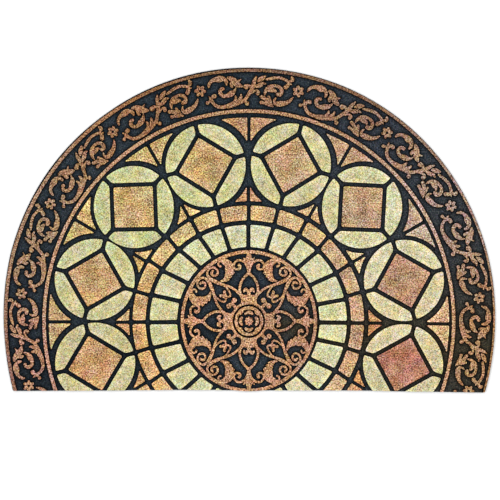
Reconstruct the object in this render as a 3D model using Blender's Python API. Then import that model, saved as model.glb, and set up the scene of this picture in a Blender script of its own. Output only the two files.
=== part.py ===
"""Half-round rubber doormat with a moulded relief, lying flat on the floor.

The sheet is one moulding: a flat underside, a channel floor, and raised fields laid out round a
pattern centre near the straight edge. Metres, +X along the straight edge, +Y towards the arc, +Z up.
The relief is charted round the pattern centre, stretched a little and placed on the sheet.
"""
import math

import bmesh
import bpy
import numpy as np
from mathutils import Vector
from mathutils.geometry import delaunay_2d_cdt

# Sheet, in metres
MAT_WIDTH = 0.889
CHANNEL_FLOOR = 0.0050
LAND_TOP = 0.0070

# The relief is charted in units of MAT_WIDTH / CHART_WIDTH, a little over a millimetre each
CHART_WIDTH = 887.6
CENTRE_ABOVE_EDGE = 124.8
RIM_RADIUS = 443.0
RIM_FULLNESS = 0.006
RIM_POINTS = 54
RIM_SPAN = (-40, 220)
RIM_SAMPLES = 432
BULGE_POINTS = 9
FOOT_CORNER_RADIUS = 4.0
RING_BULGE_DEPTH = 1.6
RING_BULGE_HALF_WIDTH = 24.0

# The right side swells outwards: angle and spread in degrees, share of the radius at the rim and border
SWELL_ANGLE = 14.0
SWELL_SPREAD = 30.0
RIM_SWELL = 0.0045
BORDER_SWELL = 0.0113

# The pattern is stretched towards the arc by an amount that changes with the radius
STRETCH_RADII = (0, 123, 128, 178.7, 185, 210, 291, 363, 367, 430, 445)
STRETCH = (1.041, 1.041, 1.041, 0.976, 0.982, 1.0, 1.014, 1.017, 1.026, 1.028, 1.033)

# Bands, inner and outer radius
OUTER_BAND = (437.4, 442.4)
THIN_RING = (366.8, 372.8)
MEDALLION_RING = (117.3, 123.1)
HUB_ANNULUS = (20.6, 25.8)

# Rings of wedges: inner radius, outer radius, channel between neighbours
CREAM_WEDGES = (128.7, 177.8, 7.8)
TAN_WEDGES = (185.5, 208.9, 7.0)
WEDGE_CORNER = 3.0
WEDGE_SHIFT = (-1.0, 0.0)

# Degrees by which each radial channel stands off an even spacing, from the right and round
CREAM_CHANNELS = (
    -1.0, -2.0, -0.9, 0.9, -0.2, 0.3, 0.0, 0.3, -0.5, -1.7, -1.0, -0.6,
    0.7, 1.0, 2.0, 2.1, 2.1, 1.5, 0.0, 0.0, -1.2, -1.2, -0.3, 0.6,
)
TAN_CHANNELS = (
    -1.0, -0.5, -0.6, 1.6, 0.0, 0.2, -0.2, 0.3, -0.6, -1.1, -1.5, 0.1,
    0.5, 0.5, 1.9, 2.0, 1.0, 0.0, 0.0, 0.0, 0.0, -0.4, -0.3, -0.6,
)

# Circles of four petals round a square: rows of angle, radius of the centre, turn about the centre
CIRCLES = (
    (-15.6, 289.0, -0.6), (14.5, 289.1, 1.2), (44.8, 288.0, -3.1), (74.8, 289.2, 0.0), (105.7, 288.5, -1.1),
    (135.6, 290.8, 1.6), (165.1, 288.0, 0.0), (195.1, 287.4, -1.3),
)
CIRCLE_RADIUS = 72.2
SQUARE_HALF_DIAGONAL = 50.0
SQUARE_CORNER = 2.0
PETAL_CHANNEL = 7.6
PETAL_TIP_CORNER = 1.0
PETAL_INNER_CORNER = 4.0

# Triangles between the circles: radius of the base, radius of the tip, degrees of the base.
# The curved side has points at parts of the way to the tip, and bends by a power of the rest.
TRIANGLE_CHANNEL = 6.0
TRIANGLE_CORNER = 2.0
OUTER_TRIANGLE = (361.5, 321.0, 7.9)
INNER_TRIANGLE = (216.5, 236.5, 6.5)
TRIANGLE_SIDE_PARTS = (0.33, 0.67)
TRIANGLE_BEND = 1.35

# Angles of the channel between the triangles of a pair: the outer pairs, then the inner ones
OUTER_LINES = (-0.8, 29.1, 59.4, 90.0, 120.3, 150.1, 180.2)
INNER_LINES = (-30.3, -0.9, 29.6, 59.9, 90.2, 120.1, 149.9, 180.5, 210.8)

# Scroll border: one unit runs from rosette to rosette, all turned the same way round
BORDER_RADIUS = 407.0
UNIT_LENGTH = 170.5
UNITS = range(-5, 6)
RIGHT_PITCH = (25.10, 0.284)
LEFT_PITCH = (24.65, 0.245)
ROSETTE_RADIUS = 413.5
ROSETTE_REACH = 10.2
ROSETTE_PETALS = 6
ROSETTE_TURN = -15.0
ROSETTE_WAIST = 0.55
ROSETTE_HOLE = 2.6

# Strokes of a unit: rows of along, out, width, measured from the middle of the unit
BORDER_STROKES = {
    "arch": (
        (-69.5, 10.5, 3), (-68, 15, 5), (-63.5, 19.7, 5.2), (-50.5, 21.3, 10.6), (-41, 19.5, 6),
        (-38.4, 10.8, 3.6),
    ),
    "leaf_body": ((-34.5, 22, 4.5), (-30, 20, 8), (-25.5, 16, 10), (-21, 10.5, 10), (-13, 6, 4.5)),
    "leaf_lobe": ((-28, 14, 8), (-29.2, 6, 4)),
    "small_scroll": (
        (-45.3, 4, 6), (-48.5, 3.5, 5.4), (-51.2, -1, 6.4), (-49.5, -6, 6), (-45, -9, 6), (-36, -7.6, 9),
        (-31.5, -5.8, 9.6), (-24.3, 0.3, 4), (-22.8, 4, 1.8),
    ),
    "stem": (
        (-66, -8, 4), (-68.3, -12.5, 5.5), (-66.3, -18.5, 5.2), (-61, -24.2, 5.6), (-53.4, -27.1, 5.8),
        (-35.6, -26.2, 8.6), (-20, -22.3, 8), (-9, -18.6, 6.2), (0.3, -7, 5.8), (6.8, 4.5, 6.4),
        (9.4, 16, 5.4), (12.2, 23, 2),
    ),
    "stem_left_bud": ((-69.5, -13.5, 5), (-76.4, -16.2, 6.2)),
    "stem_bud": ((-66.5, -9, 4.5), (-61.9, -6.8, 7.6)),
    "stem_lobe_1": ((-27, -22, 7), (-24.2, -11, 3)),
    "stem_lobe_2": ((-18.5, -20.5, 7), (-14, -9, 3.2)),
    "stem_drop": ((-9, -19.5, 4), (-3.5, -24.2, 7.6)),
    "hook_left": ((4.4, 0, 4), (3, 4.5, 3.8), (-0.5, 7, 4.6), (-4.8, 5, 9)),
    "hook_right": ((4.5, -5, 4.4), (9.5, -2.4, 3.6), (15.5, -4, 7)),
    "fan_low": ((8, 6, 6), (18, 6.5, 5.2), (23.5, 8, 1.4)),
    "fan_middle": ((16, 8.8, 3), (20, 11, 3.8), (28, 10.8, 2.6)),
    "fan_high": ((15, 14.5, 3), (20.5, 19.2, 7.6), (26.7, 23.3, 3.6)),
    "upper_arch": (
        (29, 18.6, 3.2), (40.5, 22.2, 4.9), (53.3, 23.6, 4.4), (64, 20.2, 4.8), (65.8, 13.4, 5.8),
        (62.8, 9.2, 7.2),
    ),
    "arch_bud": ((64.5, 19.8, 4), (71.5, 24.5, 6.4)),
    "right_scroll": (
        (27.8, -8.3, 2), (28.4, -3.5, 4.8), (31, 2, 6.2), (35.5, 6, 7), (45, 9.3, 4.5), (55.8, 4.2, 5.8),
        (57, -0.8, 6.2), (50.5, -5.4, 6.6),
    ),
    "right_curl": ((33, 1.5, 7), (46.3, 0, 5)),
    "lower_leaf": ((22, -12, 6), (32.5, -17.3, 7.6), (36.7, -21, 9.6), (44.5, -27, 2.6)),
    "lower_leaf_bud": ((37, -24.3, 6.5), (22.6, -21.6, 6)),
    "lower_leaf_lobe": ((38, -19, 6.6), (35.3, -11, 4)),
    "lower_stroke": (
        (47.9, -11.7, 2.4), (46, -16, 4.4), (47.4, -20.6, 6), (57.7, -20.5, 9.6), (71.3, -15, 6),
        (78, -6.2, 2),
    ),
}

# Medallion, one quarter: rows of across, out, width, measured from the pattern centre
AXIS_STROKES = {
    "spade_side": ((0, 84, 6), (7.5, 77, 4.4), (14.2, 66.4, 4.7), (16.5, 56, 4.4), (16.6, 51, 5)),
    "spade_bud": ((2.2, 52.8, 5), (5.5, 54.4, 7.8), (9.2, 51, 3)),
    "stem": (
        (0, 85, 6), (0, 91, 7.8), (0, 98.5, 15.5), (0, 103, 19.5), (0, 107, 15), (0, 114, 8.6), (0, 119, 6),
    ),
    "head_lobe": ((4, 104, 7), (9.8, 109.6, 2)),
    "side_volute": (
        (8, 102.5, 5), (13, 105, 4.3), (19.5, 105.6, 4.1), (24, 103, 4.2), (27, 98.5, 3.8), (27, 94, 4),
        (24.5, 90.5, 3.8), (20.5, 89.8, 4), (17, 91.5, 5.2), (16, 95, 5.7), (17.8, 97, 5.4),
    ),
}
DIAGONAL_STROKES = {
    "almond_side": (
        (15.5, 47.5, 6), (19.4, 49.5, 5), (28.9, 56.7, 4.3), (40.3, 61.5, 4.4), (51.7, 65, 5.4),
        (66.5, 71.5, 6.4), (75, 80.5, 4.3), (74.8, 86, 4.1), (71.5, 90.5, 4), (66.5, 93, 4), (61, 92.2, 4),
        (57, 88.5, 4.1), (56.2, 83.5, 4.3), (58.5, 79.8, 4), (63, 78.7, 4), (66.8, 80.8, 4.6),
        (67, 85, 5.2), (65, 87.6, 3.8),
    ),
    "neck": ((23.4, 23.4, 6.6), (29.6, 29.6, 5)),
    "neck_bud": ((30, 30, 4.6), (26.3, 36.2, 9.4)),
    "heart_curl": ((46, 62.5, 4), (39.5, 56.8, 3.2), (34.6, 49.4, 3.5), (33.6, 44, 3.7), (40.5, 41.8, 3.2)),
    "heart_bud": ((41, 41, 5), (43, 44.5, 7.2), (44, 51, 5.4)),
    "acanthus_curl": ((52, 104, 4), (55.2, 100.3, 3.5), (51.2, 94.9, 4.2)),
}

# Closed outlines of the medallion, points of across and out
SPADE_FOOT = (
    (0, 30), (16, 28), (13.8, 34), (14.8, 40), (19.3, 47.2), (18.4, 52), (14.4, 53), (12.9, 48.3),
    (9.5, 45.3), (6.1, 45.3), (2.7, 49), (2.7, 52), (0, 53),
)
ACANTHUS = (
    (28, 97), (32.7, 103.8), (42.5, 108.4), (44, 112.5), (56.5, 106.5), (49.5, 101.6), (42.8, 95.5),
    (43.4, 77.7), (48.6, 71.3), (52, 70.2), (50, 67.8), (42.2, 68.5), (34.2, 71.8), (35.6, 74.4),
    (30.4, 76.7), (31.4, 79.4), (25.4, 84), (27, 92),
)
MEDALLION_WEB_BASE = (29.3, 33.6)
HUB_PETAL = ((-6, 12.8, 4.2), (0, 15.4, 5.8), (6, 12.8, 4.2))
HUB_ROSETTE_REACH = 8.0
HUB_ROSETTE_PETALS = 8
HUB_ROSETTE_WAIST = 0.72

# Fineness of the outlines, in chart units
STROKE_STEP = 3.0
END_CAP = (150, 90, 30)
LARGEST_CUT = 0.49
ARC_STEP = 40.0
INNER_ARC_STEP = 17.0
SAME_POINT = 0.02
SMALL_LOOP_AREA = 5.0
LARGE_LOOP_REACH = 150.0
LARGE_LOOP_SLACK = 0.10
HUB_SLACK = 0.6
MEDALLION_SLACK = 1.45
FIELD_SLACK = 0.8
BORDER_SLACK = 1.5

RUBBER_COLOR = (0.018, 0.026, 0.036, 1.0)
RUBBER_ROUGHNESS = 0.85


def polar(radius, angle):
    """A point of the chart at a radius and an angle in radians."""
    return np.stack([radius * np.cos(angle), radius * np.sin(angle)], axis=-1)


def to_sheet(points):
    """Chart points with the stretch towards the arc, measured up from the straight edge."""
    radius = np.hypot(points[:, 0], points[:, 1])
    stretch = np.interp(radius, STRETCH_RADII, STRETCH)
    return np.stack([points[:, 0], points[:, 1] * stretch + CENTRE_ABOVE_EDGE], axis=-1)


def swell(angle):
    """How much of the right side's swelling an angle in radians has, from 0 to 1."""
    return np.exp(-(((np.degrees(angle) - SWELL_ANGLE) / SWELL_SPREAD) ** 2))


def fuller(points):
    """Chart points pushed outwards on the diagonals and at the right, as the rim and its band are."""
    angle = np.arctan2(points[:, 1], points[:, 0])
    return points * (1 + RIM_FULLNESS * np.sin(2 * angle) ** 2 + RIM_SWELL * swell(angle))[:, None]


def arc(radius, start, end, step):
    """Points along an arc about the pattern centre, both ends included."""
    count = max(2, int(math.ceil(abs(end - start) * radius / step)) + 1)
    return polar(radius, np.linspace(start, end, count))


def rounded(corners, cuts):
    """A polygon with each corner rounded from as far before it to as far after it as its cut says."""
    before = np.roll(corners, 1, axis=0)
    after = np.roll(corners, -1, axis=0)
    points = []
    for corner, back, on, cut in zip(corners, before, after, np.broadcast_to(cuts, len(corners))):
        if cut == 0:
            points.append(corner)
            continue
        start = corner + (back - corner) * min(cut / math.dist(back, corner), LARGEST_CUT)
        end = corner + (on - corner) * min(cut / math.dist(on, corner), LARGEST_CUT)
        points += [start, 0.25 * start + 0.5 * corner + 0.25 * end, end]
    return np.array(points)


def wedge(inner, outer, start, end, channel, corner):
    """A block between two radii whose straight sides leave half a channel at each radial line."""
    inner_gap = math.asin(channel / 2 / inner)
    outer_gap = math.asin(channel / 2 / outer)
    outside = polar(outer, np.linspace(start + outer_gap, end - outer_gap, 3))
    inside = polar(inner, np.linspace(end - inner_gap, start + inner_gap, 3))
    return rounded(np.vstack([outside, inside]), [corner, 0, corner] * 2)


def smooth(rows, count):
    """Samples of the Catmull-Rom curve through rows of a table."""
    rows = np.array(rows, dtype=float)
    padded = np.vstack([2 * rows[0] - rows[1], rows, 2 * rows[-1] - rows[-2]])
    place = np.linspace(0, len(rows) - 1, count)
    first = np.minimum(place.astype(int), len(rows) - 2)
    t = (place - first)[:, None]
    a, b, c, d = (padded[first + shift] for shift in range(4))
    return 0.5 * (2 * b + (c - a) * t + (2 * a - 5 * b + 4 * c - d) * t**2 + (3 * b - a - 3 * c + d) * t**3)


def stroke(rows):
    """The outline of a stroke that follows rows of across, out and width, with a rounded end each way."""
    table = np.array(rows, dtype=float)
    length = np.hypot(*np.diff(table[:, :2], axis=0).T).sum()
    fine = smooth(rows, int(length / STROKE_STEP) + 3)
    middle = fine[:, :2]
    along = np.gradient(middle, axis=0)
    along = along / np.hypot(*along.T)[:, None]
    side = np.stack([-along[:, 1], along[:, 0]], axis=-1)
    half = fine[:, 2:] / 2
    turn = np.radians(END_CAP)[:, None]
    ends = []
    for at, sign in ((0, -1), (-1, 1)):
        across, out = side[at] * np.cos(turn), along[at] * np.sin(turn)
        ends.append(middle[at] + sign * half[at] * (across + out))
    return np.vstack([ends[0], middle - side * half, ends[1], (middle + side * half)[::-1]])


def mirrored(points):
    """The points reflected in the vertical axis of their motif."""
    return points * (-1, 1)


def turned(points, angle):
    """The points turned about the pattern centre."""
    c, s = math.cos(angle), math.sin(angle)
    return points @ np.array([[c, s], [-s, c]])


def unit_angle(place):
    """The chart angle of a place counted in border units clockwise from the top."""
    right = RIGHT_PITCH[0] * place - RIGHT_PITCH[1] * place**2
    left = LEFT_PITCH[0] * place + LEFT_PITCH[1] * place**2
    return np.radians(90 - np.where(place > 0, right, left))


def on_border(points, unit):
    """Points of a unit's own along and out, placed on the chart in the border unit of that number."""
    angle = unit_angle(unit + points[:, 0] / UNIT_LENGTH)
    return polar((BORDER_RADIUS + points[:, 1]) * (1 + BORDER_SWELL * swell(angle)), angle)


def rosette(reach, petals, waist):
    """A flower outline with a point on each petal's tip and one in each notch."""
    step = 2 * math.pi / petals
    tips = step * np.arange(petals)
    return np.stack([polar(reach, tips), polar(waist * reach, tips + step / 2)], axis=1).reshape(-1, 2)


def sheet_outline():
    """The sheet's edge: the arc, the rounded feet, and the straight edge at height 0 with its bulge."""
    angles = np.radians(np.linspace(*RIM_SPAN, RIM_SAMPLES))
    rim = to_sheet(fuller(polar(RIM_RADIUS, angles)))
    rim = rim[rim[:, 1] > FOOT_CORNER_RADIUS]
    length = np.concatenate([[0], np.cumsum(np.hypot(*np.diff(rim, axis=0).T))])
    even = np.linspace(0, length[-1], RIM_POINTS)
    rim = np.stack([np.interp(even, length, rim[:, 0]), np.interp(even, length, rim[:, 1])], axis=-1)
    lean = (rim[1, 0] - rim[0, 0]) / (rim[1, 1] - rim[0, 1])
    corner_x = rim[0, 0] - lean * rim[0, 1]
    across = np.linspace(-1, 1, BULGE_POINTS)
    bulge = np.stack([across * RING_BULGE_HALF_WIDTH, -RING_BULGE_DEPTH * (1 - across**2)], axis=-1)
    corners = [[-corner_x, 0]], bulge, [[corner_x, 0]]
    cuts = [0] * RIM_POINTS + [FOOT_CORNER_RADIUS] + [0] * len(bulge) + [FOOT_CORNER_RADIUS]
    return rounded(np.vstack([rim, *corners]), cuts)


def ring(inner, outer, step):
    """Both edges of a band round the pattern centre, outer edge first."""
    whole = 2 * math.pi
    return [arc(outer, 0, whole, step)[:-1], arc(inner, 0, whole, step)[:-1]]


def wedge_ring(inner, outer, channel, shifts):
    """A ring of blocks between radial channels that stand off an even spacing by some shifts in degrees."""
    even = 360 / len(shifts) * np.arange(len(shifts) + 1)
    lines = np.radians(even + np.append(shifts, shifts[0]))
    blocks = [wedge(inner, outer, *ends, channel, WEDGE_CORNER) for ends in zip(lines[:-1], lines[1:])]
    return [block + WEDGE_SHIFT for block in blocks]


def circle_fields(angle, radius, turn):
    """The square and the four petals of a circle, turned about its centre and placed on the chart."""
    half = SQUARE_HALF_DIAGONAL
    square = rounded(np.array([[half, 0], [0, half], [-half, 0], [0, -half]]), SQUARE_CORNER)
    chord = half / math.sqrt(2) + PETAL_CHANNEL
    end_gap = PETAL_CHANNEL / math.sqrt(2)
    reach = math.pi / 4 - math.asin(PETAL_CHANNEL / 2 / CIRCLE_RADIUS)
    outside = polar(CIRCLE_RADIUS, np.linspace(-reach, reach, 5))
    inside = np.array([[chord, chord - end_gap], [chord, end_gap - chord]])
    cuts = [PETAL_TIP_CORNER, 0, 0, 0, PETAL_TIP_CORNER, PETAL_INNER_CORNER, PETAL_INNER_CORNER]
    petal = rounded(np.vstack([outside, inside]), cuts)
    shapes = [square] + [turned(petal, math.pi / 4 + quarter * math.pi / 2) for quarter in range(4)]
    return [turned(turned(shape, math.radians(turn)) + (radius, 0), math.radians(angle)) for shape in shapes]


def triangle_fields(level, tip, reach, lines):
    """A pair of triangles at each of some radial lines."""
    gap = TRIANGLE_CHANNEL / 2
    far = math.radians(reach)
    near = math.asin(gap / level)
    waist = [
        polar(level + (tip - level) * part, far * (1 - part) ** TRIANGLE_BEND)
        for part in TRIANGLE_SIDE_PARTS
    ]
    corners = [polar(level, near), polar(level, far / 2), polar(level, far), *waist, [tip, gap]]
    shape = rounded(np.array(corners), [TRIANGLE_CORNER, 0, TRIANGLE_CORNER, 0, 0, TRIANGLE_CORNER])
    return [turned(side, math.radians(line)) for line in lines for side in (shape, shape * (1, -1))]


def border_fields():
    """The strokes and rosettes of every border unit."""
    strokes = [stroke(rows) for rows in BORDER_STROKES.values()]
    shapes = []
    for unit in UNITS:
        shapes += [on_border(shape, unit) for shape in strokes]
        flower = turned(rosette(ROSETTE_REACH, ROSETTE_PETALS, ROSETTE_WAIST), math.radians(ROSETTE_TURN))
        shapes.append(on_border(flower + (0.5 * UNIT_LENGTH, ROSETTE_RADIUS - BORDER_RADIUS), unit))
    return shapes


def border_holes():
    """The holes of the rosettes."""
    hole = polar(ROSETTE_HOLE, np.arange(4) * math.pi / 2)
    return [on_border(hole + (0.5 * UNIT_LENGTH, ROSETTE_RADIUS - BORDER_RADIUS), unit) for unit in UNITS]


def medallion_fields():
    """The strokes of the medallion's web and of its hub."""
    quarter = []
    for rows in AXIS_STROKES.values():
        shape = stroke(rows)
        quarter += [shape, mirrored(shape)]
    for rows in DIAGONAL_STROKES.values():
        shape = stroke(rows)
        quarter += [shape, shape[:, ::-1]]
    foot, leaf = np.array(SPADE_FOOT, dtype=float), np.array(ACANTHUS, dtype=float)
    quarter += [foot, mirrored(foot), leaf, leaf[:, ::-1], stroke(HUB_PETAL)]
    shapes = [turned(shape, turn * math.pi / 2) for turn in range(4) for shape in quarter]
    shapes.append(rosette(HUB_ROSETTE_REACH, HUB_ROSETTE_PETALS, HUB_ROSETTE_WAIST))
    return shapes


def field_shapes():
    """All raised shapes, the holes in them, and the edges of the bands."""
    raised = wedge_ring(*CREAM_WEDGES, CREAM_CHANNELS) + wedge_ring(*TAN_WEDGES, TAN_CHANNELS)
    for row in CIRCLES:
        raised += circle_fields(*row)
    raised += triangle_fields(*OUTER_TRIANGLE, OUTER_LINES) + triangle_fields(*INNER_TRIANGLE, INNER_LINES)
    raised += border_fields() + medallion_fields()
    holes = border_holes()
    bands = [[fuller(edge) for edge in ring(*OUTER_BAND, ARC_STEP)], ring(*THIN_RING, ARC_STEP)]
    bands += [ring(*band, INNER_ARC_STEP) for band in (MEDALLION_RING, HUB_ANNULUS, MEDALLION_WEB_BASE)]
    return raised, holes, bands


def triangulated(loops):
    """Points and triangles of the plane cut along closed loops, and the loops round each triangle."""
    points = []
    faces = []
    for loop in loops:
        numbers = list(range(len(points), len(points) + len(loop)))
        faces.append(numbers if loop_area(loop) > 0 else numbers[::-1])
        points += [Vector(point) for point in loop.tolist()]
    verts, _, tris, _, _, inside = delaunay_2d_cdt(points, [], faces, 0, SAME_POINT)
    kept = [(tri, loops_round) for tri, loops_round in zip(tris, inside) if loops_round]
    return np.array([tuple(vert) for vert in verts]), np.array([tri for tri, _ in kept]), [i for _, i in kept]


def area(points, tris):
    """The signed area of each triangle."""
    a, b, c = (points[tris[:, k]] for k in range(3))
    return 0.5 * ((b - a)[:, 0] * (c - a)[:, 1] - (b - a)[:, 1] * (c - a)[:, 0])


def outlines(tris):
    """Closed rings of point numbers round a set of counter-clockwise triangles."""
    edges = np.vstack([tris[:, [0, 1]], tris[:, [1, 2]], tris[:, [2, 0]]])
    present = {tuple(edge) for edge in edges.tolist()}
    following = {}
    for start, end in sorted(present):
        if (end, start) not in present:
            following.setdefault(start, []).append(end)
    rings = []
    while following:
        start = min(following)
        loop = [start]
        onward = start
        while onward != start or len(loop) == 1:
            came_from = onward
            onward = following[came_from].pop()
            if not following[came_from]:
                del following[came_from]
            loop.append(onward)
        rings.append(loop[:-1])
    return rings


def eased(loop):
    """A closed ring without the points that stand less than its slack off the line past them."""
    radius = math.dist(loop.mean(axis=0), (0, CENTRE_ABOVE_EDGE))
    slack = BORDER_SLACK if radius > THIN_RING[1] else FIELD_SLACK
    if radius < MEDALLION_RING[1]:
        slack = MEDALLION_SLACK if radius > HUB_ROSETTE_REACH else HUB_SLACK
    if np.ptp(loop[:, 0]) > LARGE_LOOP_REACH:
        slack = LARGE_LOOP_SLACK
    while len(loop) > 4:
        before = np.roll(loop, 1, axis=0)
        line = np.roll(loop, -1, axis=0) - before
        arm = loop - before
        off = np.abs(line[:, 0] * arm[:, 1] - line[:, 1] * arm[:, 0]) / np.hypot(*line.T)
        off[loop[:, 1] < SAME_POINT] = np.inf
        if off.min() > slack:
            break
        loop = np.delete(loop, off.argmin(), axis=0)
    return loop


def loop_area(loop):
    """The area inside a closed ring of points, negative where it runs clockwise."""
    following = np.roll(loop, -1, axis=0)
    return 0.5 * (loop[:, 0] * following[:, 1] - loop[:, 1] * following[:, 0]).sum()


def counter_clockwise(points, tris):
    """The triangles with all of them turned the same way."""
    flip = area(points, tris) < 0
    tris[flip] = tris[flip][:, ::-1]
    return tris


def relief_plan():
    """Points and triangles of the sheet seen from above, and which triangles are raised."""
    edge = sheet_outline()
    raised, holes, rings = field_shapes()
    shapes = raised + holes + [loop for pair in rings for loop in pair]
    points, tris, inside = triangulated([edge] + [to_sheet(shape) for shape in shapes])
    first_hole = 1 + len(raised)
    first_ring = first_hole + len(holes)
    outer_edges = range(first_ring, 1 + len(shapes), 2)
    land = []
    for names in inside:
        solid = any(0 < name < first_hole for name in names)
        hollow = any(first_hole <= name < first_ring for name in names)
        banded = any(name in names and name + 1 not in names for name in outer_edges)
        land.append(0 in names and (banded or (solid and not hollow)))
    lands = counter_clockwise(points, tris[np.array(land)])
    loops = [points[loop] for loop in outlines(lands)]
    loops = [eased(loop) for loop in loops if abs(loop_area(loop)) > SMALL_LOOP_AREA]
    points, tris, inside = triangulated([edge] + loops)
    land = np.array([sum(name > 0 for name in names) % 2 == 1 for names in inside])
    return points, counter_clockwise(points, tris), land


def relief_solid():
    """Vertices and faces of the closed sheet: its underside, its edge, the channel floor and the lands."""
    points, tris, land = relief_plan()
    count = len(points)
    middle = (points.min(axis=0) + points.max(axis=0)) / 2
    placed = (points - middle) * (MAT_WIDTH / CHART_WIDTH)
    verts = np.vstack([np.column_stack([placed, np.full(count, z)]) for z in (0.0, CHANNEL_FLOOR, LAND_TOP)])
    faces = (tris + np.where(land, 2 * count, count)[:, None]).tolist()
    for tri_set, low, high in ((tris[land], count, 2 * count), (tris, 0, count)):
        for loop in outlines(tri_set):
            for a, b in zip(loop, loop[1:] + loop[:1]):
                faces.append([a + low, b + low, b + high, a + high])
    faces.append(outlines(tris)[0][::-1])
    return verts, faces


def material():
    """The rubber of the sheet."""
    rubber = bpy.data.materials.new("mat_rubber")
    rubber.use_nodes = True
    shader = rubber.node_tree.nodes["Principled BSDF"]
    shader.inputs["Base Color"].default_value = RUBBER_COLOR
    shader.inputs["Roughness"].default_value = RUBBER_ROUGHNESS
    shader.inputs["Metallic"].default_value = 0.0
    return rubber


def add_sheet():
    """Put the sheet in the scene as one closed body."""
    verts, faces = relief_solid()
    mesh = bpy.data.meshes.new("rubber_mat")
    mesh.from_pydata(verts.tolist(), [], faces)
    body = bmesh.new()
    body.from_mesh(mesh)
    loose = [vert for vert in body.verts if not vert.link_faces]
    bmesh.ops.delete(body, geom=loose, context="VERTS")
    bmesh.ops.recalc_face_normals(body, faces=body.faces)
    body.to_mesh(mesh)
    body.free()
    mesh.materials.append(material())
    bpy.context.scene.collection.objects.link(bpy.data.objects.new("rubber_mat", mesh))


for leftover in list(bpy.data.objects):
    bpy.data.objects.remove(leftover, do_unlink=True)
add_sheet()
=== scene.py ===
"""The looks of a half-round rubber doormat, laid out as an add-on and run as a script.

A moulded rubber sheet carries raised lands, and short flock covers the top of each land. The relief
is charted in units of the mat's width over CHART_WIDTH, round a pattern centre near the straight
edge, then stretched a little and placed on the sheet. The property groups and the meshes are in metres.
"""
import math

import bmesh
import bpy
import numpy as np
from bpy.props import FloatProperty, FloatVectorProperty, PointerProperty
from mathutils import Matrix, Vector
from mathutils.geometry import delaunay_2d_cdt


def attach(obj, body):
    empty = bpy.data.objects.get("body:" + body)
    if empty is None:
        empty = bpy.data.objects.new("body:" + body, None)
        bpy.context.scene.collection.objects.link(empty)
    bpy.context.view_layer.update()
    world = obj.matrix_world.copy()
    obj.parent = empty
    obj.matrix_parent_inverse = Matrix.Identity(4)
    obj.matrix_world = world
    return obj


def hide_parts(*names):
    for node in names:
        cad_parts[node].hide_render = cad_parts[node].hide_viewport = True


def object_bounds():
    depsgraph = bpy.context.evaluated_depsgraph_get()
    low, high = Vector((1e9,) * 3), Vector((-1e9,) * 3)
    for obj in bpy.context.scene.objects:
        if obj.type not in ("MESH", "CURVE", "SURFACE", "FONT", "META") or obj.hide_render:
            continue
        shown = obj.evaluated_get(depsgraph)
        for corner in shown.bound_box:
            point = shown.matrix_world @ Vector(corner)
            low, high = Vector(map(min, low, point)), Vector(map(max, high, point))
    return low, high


bl_info = {
    "name": "Half-round flocked doormat",
    "version": (1, 0, 0),
    "blender": (4, 5, 0),
    "location": "3D View > Sidebar > Doormat",
    "description": "Builds the moulded rubber sheet, its flocked fields and the stage",
    "category": "Add Mesh",
}

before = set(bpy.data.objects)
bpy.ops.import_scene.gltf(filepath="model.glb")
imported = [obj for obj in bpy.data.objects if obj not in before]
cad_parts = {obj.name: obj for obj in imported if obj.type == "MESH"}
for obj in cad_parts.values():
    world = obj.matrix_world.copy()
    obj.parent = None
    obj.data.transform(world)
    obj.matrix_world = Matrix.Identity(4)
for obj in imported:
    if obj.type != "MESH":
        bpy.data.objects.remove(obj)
CAD_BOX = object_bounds()
MAT_WIDTH = CAD_BOX[1].x - CAD_BOX[0].x
MAT_HEIGHT = CAD_BOX[1].z

# The chart of the relief, as the rubber sheet's source has it
CHART_WIDTH = 887.6
UNIT = MAT_WIDTH / CHART_WIDTH
CENTRE_ABOVE_EDGE = 124.8
RIM_RADIUS = 443.0
RIM_FULLNESS = 0.006
RIM_SPAN = (-40.0, 220.0)
RIM_POINTS = 420
FOOT_CORNER_RADIUS = 4.0
RING_BULGE_DEPTH = 1.6
RING_BULGE_HALF_WIDTH = 24.0

# Stretch of the pattern away from the straight edge: a factor at each of some radii
STRETCH_RADII = (0, 123, 128, 178.7, 185, 210, 291, 363, 367, 430, 445)
STRETCH = (1.041, 1.041, 1.041, 0.976, 0.982, 1.0, 1.014, 1.017, 1.026, 1.028, 1.033)

# The right side swells outwards: angle and spread in degrees, share of the radius at the rim and border
SWELL_ANGLE = 14.0
SWELL_SPREAD = 30.0
RIM_SWELL = 0.0045
BORDER_SWELL = 0.0113

# How far the rim stands off its even curve: rows of angle, and shift outwards of the sheet's edge, of the
# outer edge of the band there and of its inner edge
RIM_SHIFTS = np.array((
    (-10, -0.3, 0.2, 1.7), (15, 1.2, 1.1, 3.0), (35, 0.2, 0.0, 1.0), (55, 0.4, 0.0, 0.5),
    (78, 0.2, -0.3, 0.0), (102, 0.5, -1.2, -0.4), (125, -0.3, -1.4, -1.9), (145, 1.9, -0.4, -0.9),
    (165, 2.5, 1.5, 0.6), (185, -1.0, -1.2, -1.7),
))

# How far the straight edge stands below its even line: rows of place along it, and fall
EDGE_SAG = np.array((
    (-420, 1.2), (-350, 0.8), (-265, 0.6), (-215, 0.0), (-140, -0.6), (-66, -0.6), (-40, 0.0), (40, 0.2),
    (180, 0.3), (235, 0.9), (262, 1.8), (320, 2.6), (350, 3.1), (390, 3.7), (415, 4.1),
))

# The point of the sheet that the middle of the picture looks at
PICTURE_CENTRE = (2.0, 253.26)

# Bands, inner and outer radius
OUTER_BAND = (437.4, 442.4)
THIN_RING = (366.8, 372.8)
MEDALLION_RING = (117.3, 123.1)
WEB_BASE = (29.3, 33.6)
HUB_ANNULUS = (20.6, 25.8)

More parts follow.
